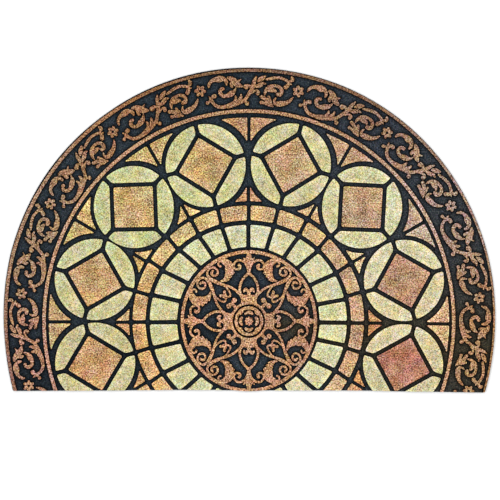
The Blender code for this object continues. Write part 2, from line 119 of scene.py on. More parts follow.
# Rings of wedges: inner radius, outer radius, channel between neighbours
CREAM_WEDGES = (128.7, 177.8, 7.8)
TAN_WEDGES = (185.5, 208.9, 7.0)
WEDGE_CORNER = 3.4
WEDGE_SHIFT = (-1.0, 0.0)

# Degrees by which each radial channel stands off an even spacing, from the right and round
CREAM_CHANNELS = (
    -1.0, -2.0, -0.9, 0.9, -0.2, 0.3, 0.0, 0.3, -0.5, -1.7, -1.0, -0.6,
    0.7, 1.0, 2.0, 2.1, 2.1, 1.5, 0.0, 0.0, -1.2, -1.2, -0.3, 0.6,
)
TAN_CHANNELS = (
    -1.0, -0.5, -0.6, 1.6, 0.0, 0.2, -0.2, 0.3, -0.6, -1.1, -1.5, 0.1,
    0.5, 0.5, 1.9, 2.0, 1.0, 0.0, 0.0, 0.0, 0.0, -0.4, -0.3, -0.6,
)

# Circles of four petals round a square: rows of angle, radius of the centre, turn about the centre
CIRCLES = (
    (-15.6, 289.0, -0.6), (14.5, 289.1, 1.2), (44.8, 288.0, -3.1), (74.8, 289.2, 0.0), (105.7, 288.5, -1.1),
    (135.6, 290.8, 1.6), (165.1, 288.0, 0.0), (195.1, 287.4, -1.3),
)
CIRCLE_RADIUS = 72.2
SQUARE_HALF_DIAGONAL = 50.0
SQUARE_CORNER = 2.4
PETAL_CHANNEL = 7.6
PETAL_TIP_CORNER = 2.4
PETAL_INNER_CORNER = 4.2

# Triangles between the circles: radius of the base, radius of the curved side about the centre of an
# evenly placed circle, and whether the tip points inwards (1) or outwards (-1)
OUTER_TRIANGLE = (361.5, 82.4, 1)
INNER_TRIANGLE = (216.5, 80.6, -1)
# An evenly placed circle: radius of its centre, and degrees off the radial line beside it
EVEN_CIRCLE = (288.5, 15.0)
TRIANGLE_GAP = 3.0
# Cuts of a triangle's corners: both ends of the base, then the tip
TRIANGLE_CORNERS = (2.4, 5.0, 4.0)

# Angles of the channel between the triangles of a pair: the outer pairs, then the inner ones
OUTER_LINES = (-0.8, 29.1, 59.4, 90.0, 120.3, 150.1, 180.2)
INNER_LINES = (-30.3, -0.9, 29.6, 59.9, 90.2, 120.1, 149.9, 180.5, 210.8)

# Scroll border: one unit runs from rosette to rosette, all turned the same way round
BORDER_RADIUS = 407.0
UNIT_LENGTH = 170.5
UNITS = range(-5, 6)
# Degrees from one unit to the next, and how fast they shrink (right) or grow (left)
RIGHT_PITCH = (25.10, 0.284)
LEFT_PITCH = (24.65, 0.245)

# Rosettes between the units: sizes in chart units, shares of the reach and of a petal's angle, degrees
ROSETTE_RADIUS = 413.5
ROSETTE_REACH = 10.4
ROSETTE_WAIST = 0.60
ROSETTE_TIP_HALF = 0.17
ROSETTE_PETALS = 6
ROSETTE_TURN = -15.0
ROSETTE_HOLE = 2.5
ROSETTE_HOLE_SIDES = 10

# Strokes of a unit: rows of along, out, width, measured from the middle of the unit
BORDER_STROKES = {
    "arch": (
        (-69.5, 10.5, 3), (-68, 15, 5), (-63.5, 19.7, 5.2), (-57, 21.5, 7.4), (-50.5, 21.3, 10.6),
        (-45, 21.3, 9), (-41, 19.5, 6), (-38.3, 15, 5.6), (-38.4, 10.8, 3.6),
    ),
    "leaf_body": (
        (-34.5, 22, 4.5), (-30, 20, 8), (-25.5, 16, 10), (-21, 10.5, 10), (-16, 7.3, 7.5), (-13, 6, 4.5),
    ),
    "leaf_tip": ((-22, 14.5, 6), (-17.5, 15.3, 3.6), (-13.5, 18, 1.4)),
    "leaf_lobe": ((-28, 14, 8), (-30.2, 8.5, 5.5), (-29.2, 6, 4)),
    "small_scroll": (
        (-45.3, 4, 6), (-48.5, 3.5, 5.4), (-51.2, -1, 6.4), (-49.5, -6, 6), (-45, -9, 6), (-40.5, -9, 6.6),
        (-36, -7.6, 9), (-31.5, -5.8, 9.6), (-27.5, -3.6, 7), (-24.3, 0.3, 4), (-22.8, 4, 1.8),
    ),
    "stem": (
        (-66, -8, 4), (-68.3, -12.5, 5.5), (-66.3, -18.5, 5.2), (-61, -24.2, 5.6), (-53.4, -27.1, 5.8),
        (-43.5, -27.4, 6.6), (-35.6, -26.2, 8.6), (-28, -24.2, 9), (-20, -22.3, 8), (-9, -18.6, 6.2),
        (-4.4, -14.2, 5.6), (0.3, -7, 5.8), (4, -1.2, 6.2), (6.8, 4.5, 6.4), (8, 10, 6.2), (9.4, 16, 5.4),
        (11.6, 21, 3.2), (12.2, 23, 2),
    ),
    "stem_left_bud": ((-69.5, -13.5, 5), (-73, -14.5, 3.4), (-76.4, -16.2, 6.2)),
    "stem_spike": ((-69, -13, 5), (-71.8, -5.8, 2)),
    "stem_bud": ((-66.5, -9, 4.5), (-65, -6.5, 5), (-61.9, -6.8, 7.6)),
    "stem_lobe_1": ((-27, -22, 7), (-24.6, -18, 5.4), (-23.7, -14, 4.8), (-24.2, -11, 3)),
    "stem_lobe_2": ((-18.5, -20.5, 7), (-16, -16, 6), (-14, -12, 4.8), (-14, -9, 3.2)),
    "stem_drop": ((-9, -19.5, 4), (-6.5, -21, 4), (-3.5, -24.2, 7.6)),
    "hook_left": ((4.4, 0, 4), (3, 4.5, 3.8), (-0.5, 7, 4.6), (-4.8, 5, 9)),
    "hook_right": ((4.5, -5, 4.4), (9.5, -2.4, 3.6), (14, -1.6, 3.8), (17, -4.2, 4.6), (15.3, -6.6, 6.2)),
    "fan_low": ((8, 6, 6), (13, 6.3, 6), (18, 6.5, 5.2), (23.5, 8, 1.4)),
    "fan_middle": ((16, 8.8, 3), (20, 11, 3.8), (24, 11.7, 4.4), (28, 10.8, 2.6)),
    "fan_high": ((15, 14.5, 3), (17, 16.5, 6), (20.5, 19.2, 7.6), (24.5, 21.8, 6), (26.7, 23.3, 3.6)),
    "upper_arch": (
        (29, 18.6, 3.2), (33.8, 20.1, 4.6), (40.5, 22.2, 4.9), (47.3, 23.5, 4.8), (53.3, 23.6, 4.4),
        (59.3, 22, 4.4), (64, 20.2, 4.8), (66.4, 17, 5.2), (65.8, 13.4, 5.8), (62.8, 9.2, 7.2),
    ),
    "arch_spur": ((66.5, 17, 4), (71.2, 15.6, 2)),
    "arch_bud": ((64.5, 19.8, 4), (69, 20.7, 3.8), (71.8, 24, 6.4), (70.6, 27.5, 4)),
    "right_scroll": (
        (27.8, -8.3, 2), (28.4, -3.5, 4.8), (31, 2, 6.2), (35.5, 6, 7), (40, 8.2, 6), (45, 9.3, 4.5),
        (51, 8.3, 5.3), (55.8, 4.2, 5.8), (57, -0.8, 6.2), (54.8, -4.8, 7), (50.5, -5.4, 6.6),
    ),
    "right_curl": ((33, 1.5, 7), (38.5, 1, 7.6), (43, 1.2, 6.6), (46.3, -0.2, 4.4)),
    "lower_leaf": (
        (22, -12, 6), (27.5, -14, 6), (32.5, -17.3, 7.6), (36.7, -21, 9.6), (40, -24.3, 7), (44.5, -27, 2.6),
    ),
    "lower_leaf_bud": ((37, -24.3, 6.5), (32, -23.1, 5.6), (27, -22.2, 4.2), (22.6, -21.6, 6)),
    "lower_leaf_lobe": ((38, -19, 6.6), (36.8, -14.5, 5), (35.3, -11, 4)),
    "lower_stroke": (
        (47.9, -11.7, 2.4), (46, -16, 4.4), (47.4, -20.6, 6), (52, -21.7, 8.6), (57.7, -20.5, 9.6),
        (65, -18.7, 7.6), (71.3, -15, 6), (75.6, -10, 4.4), (78, -6.2, 2),
    ),
}

# Medallion: rows of across, out, width, measured from the pattern centre
AXIS_STROKES = {
    "spade_side": (
        (0, 84, 6), (4, 80, 4.8), (7.5, 77, 4.4), (11.3, 72.2, 4.5), (14.2, 66.4, 4.7), (16, 61, 4.7),
        (16.5, 56, 4.4), (16.6, 51, 5),
    ),
    "spade_bud": ((2.2, 52.8, 5), (5.5, 54.6, 7.6), (8.2, 53.3, 5.2), (9.2, 51, 3)),
    "stem": (
        (0, 85, 6), (0, 87.5, 6.6), (0, 91, 7.8), (0, 95, 11), (0, 98.5, 15.5), (0, 103, 19.5), (0, 107, 15),
        (0, 110, 11), (0, 114, 8.6), (0, 119, 6),
    ),
    "head_lobe": ((4, 104, 7), (9.8, 109.6, 2)),
    "side_volute": (
        (8, 102.5, 5), (13, 105, 4.3), (19.5, 105.6, 4.1), (24, 103, 4.2), (27, 98.5, 3.8), (27, 94, 4),
        (24.5, 90.5, 3.8), (20.5, 89.8, 4), (17, 91.5, 5.2), (16, 95, 5.7), (17.8, 97, 5.4),
    ),
}
DIAGONAL_STROKES = {
    "almond_side": (
        (15.5, 47.5, 6), (19.4, 49.5, 5), (24, 53.4, 4.4), (28.9, 56.7, 4.3), (34.6, 59.6, 4.3),
        (40.3, 61.5, 4.4), (46, 63.1, 4.8), (51.7, 65, 5.4), (57.6, 67.2, 6.4), (66.5, 71.5, 6.4),
        (71.5, 75.5, 5.2), (75, 80.5, 4.3), (74.8, 86, 4.1), (71.5, 90.5, 4), (66.5, 93, 4), (61, 92.2, 4),
        (57, 88.5, 4.1), (56.2, 83.5, 4.3), (58.5, 79.8, 4), (63, 78.7, 4), (66.8, 80.8, 4.6),
        (67, 85, 5.2), (65, 87.6, 3.8),
    ),
    "neck": ((23.4, 23.4, 6.6), (26, 26, 5.6), (29.6, 29.6, 5)),
    "neck_bud": ((30, 30, 4.6), (29.4, 33, 5.6), (26.3, 36.2, 9.4)),
    "heart_curl": (
        (46, 62.5, 4), (42, 60, 3.4), (39.5, 56.8, 3.2), (36.9, 53.4, 3.3), (34.6, 49.4, 3.5),
        (33.4, 45.5, 3.7), (34.4, 43, 3.7), (37.3, 41.8, 3.6), (40.5, 41.8, 3.2),
    ),
    "heart_bud": ((41, 41, 5), (43, 44.5, 7.2), (43.9, 48.5, 5), (44, 51, 5.4)),
    "acanthus_curl": ((52, 104, 4), (55.2, 100.3, 3.5), (54.3, 96.5, 3.6), (51.2, 94.9, 4.2)),
}

# Closed outlines of the medallion, points of across and out
SPADE_FOOT = (
    (0, 30), (16, 28), (14.9, 30), (13.8, 33.5), (13.9, 37), (14.8, 40), (16.4, 43.5), (19.3, 47.2),
    (18.4, 52), (14.4, 53), (13.7, 50.4), (12.9, 48.3), (11.6, 46.5), (9.5, 45.3), (6.1, 45.3), (3.7, 46.6),
    (2.7, 49), (2.7, 52), (0, 53),
)
ACANTHUS = (
    (28, 97), (29.5, 101.2), (32.7, 103.8), (37.6, 106.8), (42.5, 108.4), (44, 112.5), (50, 110),
    (56.5, 106.5), (54.5, 103), (49.5, 101.6), (45.4, 98), (42.8, 95.5), (43, 91), (43, 88), (41.7, 84.8),
    (43, 81.5), (43.4, 77.7), (45.6, 73.8), (48.6, 71.3), (52, 70.2), (50, 67.8), (42.2, 68.5), (37.2, 70),
    (34.2, 71.8), (35.6, 74.4), (32.3, 74.6), (30.4, 76.7), (31.4, 79.4), (28, 81), (25.4, 84),
    (27.8, 86.4), (26.4, 89), (27, 92),
)
# What the medallion's strokes are narrower than their rows
MEDALLION_TRIM = 0.45

# Hub: strokes of a petal and of a bulge of its ring, and the rosette in its middle
HUB_PETAL = ((-6, 12.8, 4.2), (-3, 14.8, 5.4), (0, 15.4, 5.8), (3, 14.8, 5.4), (6, 12.8, 4.2))
HUB_CORNER = ((-3, 20.3, 4), (0, 20, 5), (3, 20.3, 4))
HUB_ROSETTE_REACH = 8.0
HUB_ROSETTE_WAIST = 0.72
HUB_ROSETTE_PETALS = 8

# Steps between the points of outlines, in chart units
STROKE_STEP = 1.5
CONTOUR_STEP = 2.0
BAND_STEP = 3.0
STRAIGHT_STEP = 6.0
STRAIGHT_END_GAP = 1.0

# Counts of points: in the bulge, a corner, a wedge's arc, a petal's arc, a triangle's base and its curved
# side, and the fewest in a stroke and in a loop. The cap of a stroke has its angles in degrees
BULGE_POINTS = 25
CORNER_POINTS = 7
WEDGE_ARC_POINTS = 9
PETAL_ARC_POINTS = 25
TRIANGLE_BASE_POINTS = 4
TRIANGLE_SIDE_POINTS = 7
LEAST_STROKE_POINTS = 4
LEAST_POINTS = 12
END_CAP = (165, 135, 105, 75, 45, 15)

# Cuts at the points along an arc, and the most of a side that any cut may take
ARC_CUT = 0.5
LONGEST_CUT = 0.49

# Least distance between two points, least area of a loop, least length that anything is divided by, and
# how near to a cut a point is on it, in metres
SAME_POINT = 0.02
SMALL_LOOP_AREA = 2.0
TINY = 1e-9
ON_CUT = 1e-7

# Easing of the sheet's loops: slack, rounds, fewest points, and the longest line past a point
SHEET_SLACK = 0.05
EASING_ROUNDS = 8
LEAST_EASED_POINTS = 8
LONGEST_EASED_LINE = 16.0

# Steps between the points inside outlines, and the shares of a step that keep them clear of the outlines
RIDGE_STEP = 0.75
RIDGE_CLEAR = 0.9
PILE_STEP = 2.0
PILE_CLEAR = 1.9
SLAB_RING_STEP = 4.0
LEAST_SLAB_RINGS = 3
CHANNEL_RING = 2.4
CHANNEL_RING_CLEAR = 0.95
FLOOR_STEP = 4.2
FLOOR_CLEAR = 1.6
DISTANCE_BLOCK = 1500

# Flocked top of a land: rows of inward distance and drop below the flock's top, in metres. The first rows
# are its wall, which has no waves
FLOCK_PROFILE = ((0.0, 0.00060), (0.0, 0.00036), (0.00018, 0.00017), (0.00050, 0.00005), (0.00100, 0.0))
WALL_ROWS = 2

# Painted highlight along the edges of the fields: lightness in the middle, what the edge has more,
# and how far in that reaches, in metres
FIELD_EDGE_HIGHLIGHT = (0.94, 0.17, 0.0045)

# Waves of a surface: rows of share and wavelength in metres. A row is a sum of plane waves whose lengths
# are spread between two shares of that
WAVES = ((0.8, 0.006), (0.5, 0.022))
WAVE_COUNT = 14
WAVE_SPREAD = (0.6, 1.6)
FLOCK_SEED = 3
CRUMB_SEED = 7

# Metres beside a land over which the crumb's waves grow, and degrees from which an edge is sharp
CRUMB_FADE = 0.002
SHARP_ANGLE = 50.0


def metres(name, description, default, least=0.0):
    """A property in metres with its name, description, default and least value."""
    return FloatProperty(name=name, description=description, default=default, min=least, unit="LENGTH")


def colour(name, description, value):
    """A colour property with its name, description and default."""
    return FloatVectorProperty(
        name=name, description=description, default=value, size=3, subtype="COLOR", min=0.0, max=1.0,
    )


class MatSizes(bpy.types.PropertyGroup):
    """Heights and grain of the mat."""
    channel_floor: metres("Channel floor", "Height of the rubber between the lands", 0.0050, 0.001)
    flock_top: metres("Flock top", "Height of the tips of the flock", MAT_HEIGHT, 0.002)
    flock_depth: metres("Flock depth", "Height of the flock above the rubber of its land", 0.0006, 0.0001)
    flock_waves: metres("Flock waves", "How far the flock's surface rises and falls", 0.00010)
    crumb_waves: metres("Crumb waves", "How far the rubber's crumb surface rises and falls", 0.00012)
    edge_round: metres("Edge rounding", "Rounding of the rubber sheet's lower edge", 0.0006)


class MatColours(bpy.types.PropertyGroup):
    """Colours of the rubber, of its painted shade beside the lands, and of each kind of flocked field."""
    cream_wedge: colour("Cream wedges", "Flock of the ring of cream wedges", (0.548, 0.509, 0.287))
    petal: colour("Petals", "Flock of the petals", (0.527, 0.484, 0.260))
    tan_wedge: colour("Tan wedges", "Flock of the ring of tan wedges", (0.499, 0.320, 0.156))
    square: colour("Squares", "Flock of the squares", (0.444, 0.271, 0.137))
    outer_triangle: colour("Outer triangles", "Flock of the outer triangles", (0.453, 0.311, 0.152))
    inner_triangle: colour("Inner triangles", "Flock of the inner triangles", (0.514, 0.305, 0.137))
    copper: colour("Medallion", "Flock of the medallion and its hub", (0.439, 0.230, 0.118))
    thin_ring: colour("Thin ring", "Flock of the ring inside the scrolls", (0.408, 0.216, 0.117))
    scroll: colour("Scrolls", "Flock of the scroll border", (0.325, 0.167, 0.086))
    rim: colour("Rim band", "Flock of the band at the rim", (0.212, 0.103, 0.051))
    rubber: colour("Rubber", "Crumb rubber in the open channels", (0.0215, 0.0295, 0.0375))
    # Painted shade: near-black colour put on the rubber right beside the lands, where shade falls in the
    # channels
    rubber_painted_shade: colour("Painted shade of rubber", "Painted shade beside the lands", (0.0010, 0.0014, 0.0022))


class StageSettings(bpy.types.PropertyGroup):
    """Floor, light and camera."""
    view_width: metres("View width", "Width that the picture takes in at the mat", 0.9040, 0.1)
    lens: FloatProperty(name="Lens", description="Focal length in millimetres", default=200.0, min=20.0)
    floor_size: metres("Floor size", "Side of the square floor", 8.0, 1.0)
    floor_colour: colour("Floor", "Plain pale floor", (0.97, 0.97, 0.97))
    sky_strength: FloatProperty(
        name="Sky strength", description="Even light from all round", default=0.80, min=0.0,
    )
    lamp_power: FloatProperty(
        name="Lamp power", description="Power of the soft lamp above the mat", default=40.0, min=0.0,
        unit="POWER",
    )
    lamp_size: metres("Lamp size", "Side of the soft lamp", 2.4, 0.1)


def pairs(x, y):
    """Points from their two coordinates."""
    return np.stack([x, y], axis=-1)


def polar(radius, angle):
    """Points at a radius and an angle in radians: radius times (cosine, sine)."""
    return pairs(radius * np.cos(angle), radius * np.sin(angle))


def turned(points, angle):
    """The points turned about the pattern centre by an angle, or by each angle of a column of them."""
    c, s = np.cos(angle), np.sin(angle)
    return pairs(points[..., 0] * c - points[..., 1] * s, points[..., 0] * s + points[..., 1] * c)


def to_sheet(points):
    """Chart points with the stretch of their radius, measured up from the straight edge."""
    stretch = np.interp(np.hypot(points[..., 0], points[..., 1]), STRETCH_RADII, STRETCH)
    return pairs(points[..., 0], points[..., 1] * stretch + CENTRE_ABOVE_EDGE)


def swell(angle):
    """How much of the right side's swelling an angle in radians has: a bell curve of it, from 0 to 1."""
    return np.exp(-(((np.degrees(angle) - SWELL_ANGLE) / SWELL_SPREAD) ** 2))


def fuller(points):
    """Chart points pushed out by their fullness times sin(2 angle) squared, and by the swelling."""
    angle = np.arctan2(points[:, 1], points[:, 0])
    return points * (1 + RIM_FULLNESS * np.sin(2 * angle) ** 2 + RIM_SWELL * swell(angle))[:, None]


def bearing(x, y):
    """The angle of a place about the pattern centre in degrees, from -90 at the bottom to 270."""
    angle = np.degrees(np.arctan2(y, x))
    return np.where(angle < -90, angle + 360, angle)


def shifted(points, column):
    """Chart points pushed out by a column of the rim's shifts at their angle."""
    shift = np.interp(bearing(*points.T), RIM_SHIFTS[:, 0], RIM_SHIFTS[:, column])
    return points * (1 + shift / np.hypot(points[:, 0], points[:, 1]))[:, None]


def lifted(points, sign):
    """Points of the sheet moved up by the straight edge's sag at their place, or down with sign -1."""
    return points + pairs(np.zeros(len(points)), sign * np.interp(points[:, 0], *EDGE_SAG.T))


def evenly(loop, step):
    """A closed loop resampled at even lengths along it, and turned counter-clockwise."""
    if loop_area(loop) < 0:
        loop = loop[::-1]
    closed = np.vstack([loop, loop[:1]])
    length = np.concatenate([[0], np.cumsum(np.hypot(*np.diff(closed, axis=0).T))])
    even = np.linspace(0, length[-1], max(LEAST_POINTS, int(length[-1] / step)) + 1)[:-1]
    return pairs(*(np.interp(even, length, closed[:, k]) for k in (0, 1)))


def rounded(corners, cuts):
    """A polygon whose corners are parabolas that start and end a cut away from the corner."""
    before, after = np.roll(corners, 1, axis=0), np.roll(corners, -1, axis=0)
    back, on = before - corners, after - corners
    cuts = np.broadcast_to(cuts, len(corners))[:, None]
    start = corners + back * np.minimum(cuts / np.linalg.norm(back, axis=1, keepdims=True), LONGEST_CUT)
    end = corners + on * np.minimum(cuts / np.linalg.norm(on, axis=1, keepdims=True), LONGEST_CUT)
    t = np.linspace(0, 1, CORNER_POINTS)[None, :, None]
    curve = (1 - t) ** 2 * start[:, None] + 2 * t * (1 - t) * corners[:, None] + t**2 * end[:, None]
    return curve.reshape(-1, 2)


def smooth(rows, count):
    """Samples of the Catmull-Rom curve through rows of a table."""
    rows = np.array(rows, dtype=float)
    padded = np.vstack([2 * rows[0] - rows[1], rows, 2 * rows[-1] - rows[-2]])
    place = np.linspace(0, len(rows) - 1, count)
    first = np.minimum(place.astype(int), len(rows) - 2)
    t = (place - first)[:, None]
    a, b, c, d = (padded[first + shift] for shift in range(4))
    return 0.5 * (2 * b + (c - a) * t + (2 * a - 5 * b + 4 * c - d) * t**2 + (3 * b - a - 3 * c + d) * t**3)


def stroke(rows):
    """The outline of a stroke: its middle line plus and minus half its width along the normal, round ends."""
    length = np.hypot(*np.diff(np.array(rows, dtype=float)[:, :2], axis=0).T).sum()
    fine = smooth(rows, int(length / STROKE_STEP) + LEAST_STROKE_POINTS)
    middle, half = fine[:, :2], fine[:, 2:] / 2
    along = np.gradient(middle, axis=0)
    along /= np.linalg.norm(along, axis=1, keepdims=True)
    side = pairs(-along[:, 1], along[:, 0])
    turn = np.radians(END_CAP)[:, None]
    ends = [
        middle[at] + sign * half[at] * (side[at] * np.cos(turn) + along[at] * np.sin(turn))
        for at, sign in ((0, -1), (-1, 1))
    ]
    return np.vstack([ends[0], middle - side * half, ends[1], (middle + side * half)[::-1]])


def rosette(reach, petals, waist, tip_half):
    """A flower outline: each petal has two points at its tip and one in the notch after it."""
    step = 2 * math.pi / petals
    tips = step * np.arange(petals)
    corners = [polar(reach, tips - tip_half * step), polar(reach, tips + tip_half * step)]
    corners.append(polar(waist * reach, tips + step / 2))
    return rounded(np.stack(corners, axis=1).reshape(-1, 2), reach * tip_half)


def sheet_outline(uneven=True):
    """The sheet's edge: the arc, the rounded feet, and the straight edge at height 0 with its bulge. The
    uneven edge has the rim's shifts and the straight edge's sag as well."""
    angles = np.radians(np.linspace(*RIM_SPAN, RIM_POINTS))
    rim = fuller(polar(RIM_RADIUS, angles))
    rim = lifted(to_sheet(shifted(rim, 1)), 1) if uneven else to_sheet(rim)
    rim = rim[rim[:, 1] > FOOT_CORNER_RADIUS]
    lean = (rim[1, 0] - rim[0, 0]) / (rim[1, 1] - rim[0, 1])
    corner_x = rim[0, 0] - lean * rim[0, 1]
    across = np.linspace(-1, 1, BULGE_POINTS)
    bulge = pairs(across * RING_BULGE_HALF_WIDTH, -RING_BULGE_DEPTH * (1 - across**2))
    foot_part = slice(CORNER_POINTS, 2 * CORNER_POINTS)
    feet = [rounded(np.array([a, b, c]), FOOT_CORNER_RADIUS)[foot_part] for a, b, c in (
        (rim[-1], (-corner_x, 0), bulge[0]), (bulge[-1], (corner_x, 0), rim[0]),
    )]
    stretches = [np.arange(a + STRAIGHT_STEP, b - STRAIGHT_END_GAP, STRAIGHT_STEP) for a, b in (
        (feet[0][-1, 0], bulge[0, 0]), (bulge[-1, 0], feet[1][0, 0]),
    )]
    left, right = [pairs(x, np.zeros(len(x))) for x in stretches]
    outline = np.vstack([rim, feet[0], left, bulge, right, feet[1]])
    return lifted(outline, -1) if uneven else outline


def wedges(inner, outer, channel, shifts):
    """A ring of blocks between radial channels that stand off an even spacing by some shifts in degrees.
    Each straight side keeps half a channel from its radial line."""
    even = 360 / len(shifts) * np.arange(len(shifts) + 1)
    lines = np.radians(even + np.append(shifts, shifts[0]))
    spread = np.linspace(-1, 1, WEDGE_ARC_POINTS)
    cuts = np.where(np.abs(np.tile(spread, 2)) == 1, WEDGE_CORNER, ARC_CUT)
    blocks = []
    for start, end in zip(lines[:-1], lines[1:]):
        middle, half = (start + end) / 2, (end - start) / 2
        far, near = half - math.asin(channel / 2 / outer), half - math.asin(channel / 2 / inner)
        corners = np.vstack([polar(outer, middle + far * spread), polar(inner, middle - near * spread)])
        blocks.append(to_sheet(evenly(rounded(corners, cuts), CONTOUR_STEP) + WEDGE_SHIFT))
    return blocks


def on_circles(shape):
    """A shape placed in every circle: turned about its centre, moved out and turned to its angle."""
    return [
        to_sheet(turned(turned(shape, math.radians(turn)) + (radius, 0), math.radians(angle)))
        for angle, radius, turn in CIRCLES
    ]


def squares():
    """The square inside each circle, one diagonal along the radius."""
    corners = polar(SQUARE_HALF_DIAGONAL, np.arange(4) * math.pi / 2)
    return on_circles(evenly(rounded(corners, SQUARE_CORNER), CONTOUR_STEP))


def petals():
    """Four petals round each square: a chord beside the square, two short ends, and an arc of the circle."""
    chord = SQUARE_HALF_DIAGONAL / math.sqrt(2) + PETAL_CHANNEL
    end_gap = PETAL_CHANNEL / math.sqrt(2)
    reach = math.pi / 4 - math.asin(PETAL_CHANNEL / 2 / CIRCLE_RADIUS)
    spread = np.linspace(-1, 1, PETAL_ARC_POINTS)
    inside = np.array([[chord, chord - end_gap], [chord, end_gap - chord]])
    corners = np.vstack([polar(CIRCLE_RADIUS, reach * spread), inside])
    cuts = np.full(len(corners), ARC_CUT)
    cuts[[0, PETAL_ARC_POINTS - 1]] = PETAL_TIP_CORNER
    cuts[PETAL_ARC_POINTS:] = PETAL_INNER_CORNER
    petal = evenly(rounded(corners, cuts), CONTOUR_STEP)
    return [
        field for quarter in range(4)
        for field in on_circles(turned(petal, math.pi / 4 + quarter * math.pi / 2))
    ]


def triangles(level, reach, inward, lines):
    """A pair of triangles at each of some radial lines: a base on a ring, a side along the line's
    channel, and a side that is an arc about the centre of an evenly placed circle."""
    away, beside = EVEN_CIRCLE[0], math.radians(EVEN_CIRCLE[1])
    centre = polar(away, beside)
    far = beside - math.acos((level**2 + away**2 - reach**2) / (2 * level * away))
    near = math.asin(TRIANGLE_GAP / level)
    base = polar(level, np.linspace(near, far, TRIANGLE_BASE_POINTS))
    tip = (centre[0] + inward * math.sqrt(reach**2 - (centre[1] - TRIANGLE_GAP) ** 2), TRIANGLE_GAP)
    start, end = base[-1] - centre, np.array(tip) - centre
    sweep = np.linspace(math.atan2(*start[::-1]), math.atan2(*end[::-1]), TRIANGLE_SIDE_POINTS)
    corners = np.vstack([base, (centre + polar(reach, sweep))[1:]])
    cuts = np.full(len(corners), ARC_CUT)
    cuts[[0, TRIANGLE_BASE_POINTS - 1, -1]] = TRIANGLE_CORNERS
    side = evenly(rounded(corners, cuts), CONTOUR_STEP)
    pair = (side, (side * (1, -1))[::-1])
    return [to_sheet(turned(shape, math.radians(line))) for line in lines for shape in pair]


def band(inner, outer):
    """Both edges of a band round the pattern centre, on the sheet, outer edge first. A band outside
    the border is as full as the rim, and has its shifts."""
    angles = np.linspace(0, 2 * math.pi, int(2 * math.pi * outer / BAND_STEP), endpoint=False)
    edges = [polar(radius, angles) for radius in (outer, inner)]
    if outer > BORDER_RADIUS:
        edges = [shifted(fuller(edge), column) for column, edge in enumerate(edges, 2)]
    return [to_sheet(edge) for edge in edges]


def on_border(points, unit):
    """A unit's own along and out, bent round the border: the angle from the top is its side's pitch
    times place less a small square term, the radius is the border's plus out, and swells at the right."""
    place = unit + points[:, 0] / UNIT_LENGTH
    right = RIGHT_PITCH[0] * place - RIGHT_PITCH[1] * place**2
    left = LEFT_PITCH[0] * place + LEFT_PITCH[1] * place**2
    angle = np.radians(90 - np.where(place > 0, right, left))
    return to_sheet(polar((BORDER_RADIUS + points[:, 1]) * (1 + BORDER_SWELL * swell(angle)), angle))


def border_shapes():
    """The strokes and rosettes of every border unit, and the holes of the rosettes."""
    middle = (0.5 * UNIT_LENGTH, ROSETTE_RADIUS - BORDER_RADIUS)
    flower = rosette(ROSETTE_REACH, ROSETTE_PETALS, ROSETTE_WAIST, ROSETTE_TIP_HALF)
    shapes = [stroke(rows) for rows in BORDER_STROKES.values()]
    shapes.append(turned(flower, math.radians(ROSETTE_TURN)) + middle)
    hole = polar(ROSETTE_HOLE, np.arange(ROSETTE_HOLE_SIDES) * 2 * math.pi / ROSETTE_HOLE_SIDES) + middle
    return (
        [on_border(shape, unit) for unit in UNITS for shape in shapes],
        [on_border(hole, unit) for unit in UNITS],
    )


def medallion_shapes():
    """The strokes of the medallion's web, trimmed a little: each quarter's own, and their mirror images."""
    quarter = []
    for strokes, mirrored in ((AXIS_STROKES, lambda shape: shape * (-1, 1)), (DIAGONAL_STROKES, np.fliplr)):
        for rows in strokes.values():
            shape = stroke(np.array(rows) - (0, 0, MEDALLION_TRIM))
            quarter += [shape, mirrored(shape)]
    foot, leaf = np.array(SPADE_FOOT, dtype=float), np.array(ACANTHUS, dtype=float)
    quarter += [foot, foot * (-1, 1), leaf, leaf[:, ::-1]]
    return [to_sheet(turned(shape, turn * math.pi / 2)) for turn in range(4) for shape in quarter]


def hub_shapes():
    """Four bean petals and a rosette inside the hub's ring, and the ring's bulges between the petals."""
    shapes = [turned(stroke(HUB_PETAL), turn * math.pi / 2) for turn in range(4)]
    shapes += [turned(stroke(HUB_CORNER), (turn + 0.5) * math.pi / 2) for turn in range(4)]
    shapes.append(rosette(HUB_ROSETTE_REACH, HUB_ROSETTE_PETALS, HUB_ROSETTE_WAIST, ROSETTE_TIP_HALF))
    return [to_sheet(shape) for shape in shapes]


def loop_area(loop):
    """The area inside a closed loop of points, negative where it runs clockwise."""
    onward = np.roll(loop, -1, axis=0)
    return 0.5 * (loop[:, 0] * onward[:, 1] - loop[:, 1] * onward[:, 0]).sum()


def triangulated(loops, free=()):
    """Points and triangles of the plane cut along closed loops, and the loops round each triangle."""
    points = []
    faces = []
    for loop in loops:
        numbers = list(range(len(points), len(points) + len(loop)))
        faces.append(numbers if loop_area(loop) > 0 else numbers[::-1])
        points += [Vector(point) for point in loop.tolist()]
    points += [Vector(point) for point in np.asarray(free).tolist()]
    found, _, tris, _, _, inside = delaunay_2d_cdt(points, [], faces, 0, SAME_POINT)
    places = np.array([tuple(point) for point in found])
    kept = np.array([tri for tri, names in zip(tris, inside) if names])
    return places, kept, [names for names in inside if names]


def facing_up(points, tris):
    """The triangles with all of them counter-clockwise as seen from above."""
    a, b, c = (points[tris[:, k]] for k in range(3))
    flip = (b - a)[:, 0] * (c - a)[:, 1] < (b - a)[:, 1] * (c - a)[:, 0]
    tris[flip] = tris[flip][:, ::-1]
    return tris


def rim_edges(tris):
    """The directed edges that only one of a set of counter-clockwise triangles has."""
    edges = np.vstack([tris[:, [0, 1]], tris[:, [1, 2]], tris[:, [2, 0]]])
    wide = int(tris.max()) + 1
    return edges[~np.isin(edges[:, 0] * wide + edges[:, 1], edges[:, 1] * wide + edges[:, 0])]


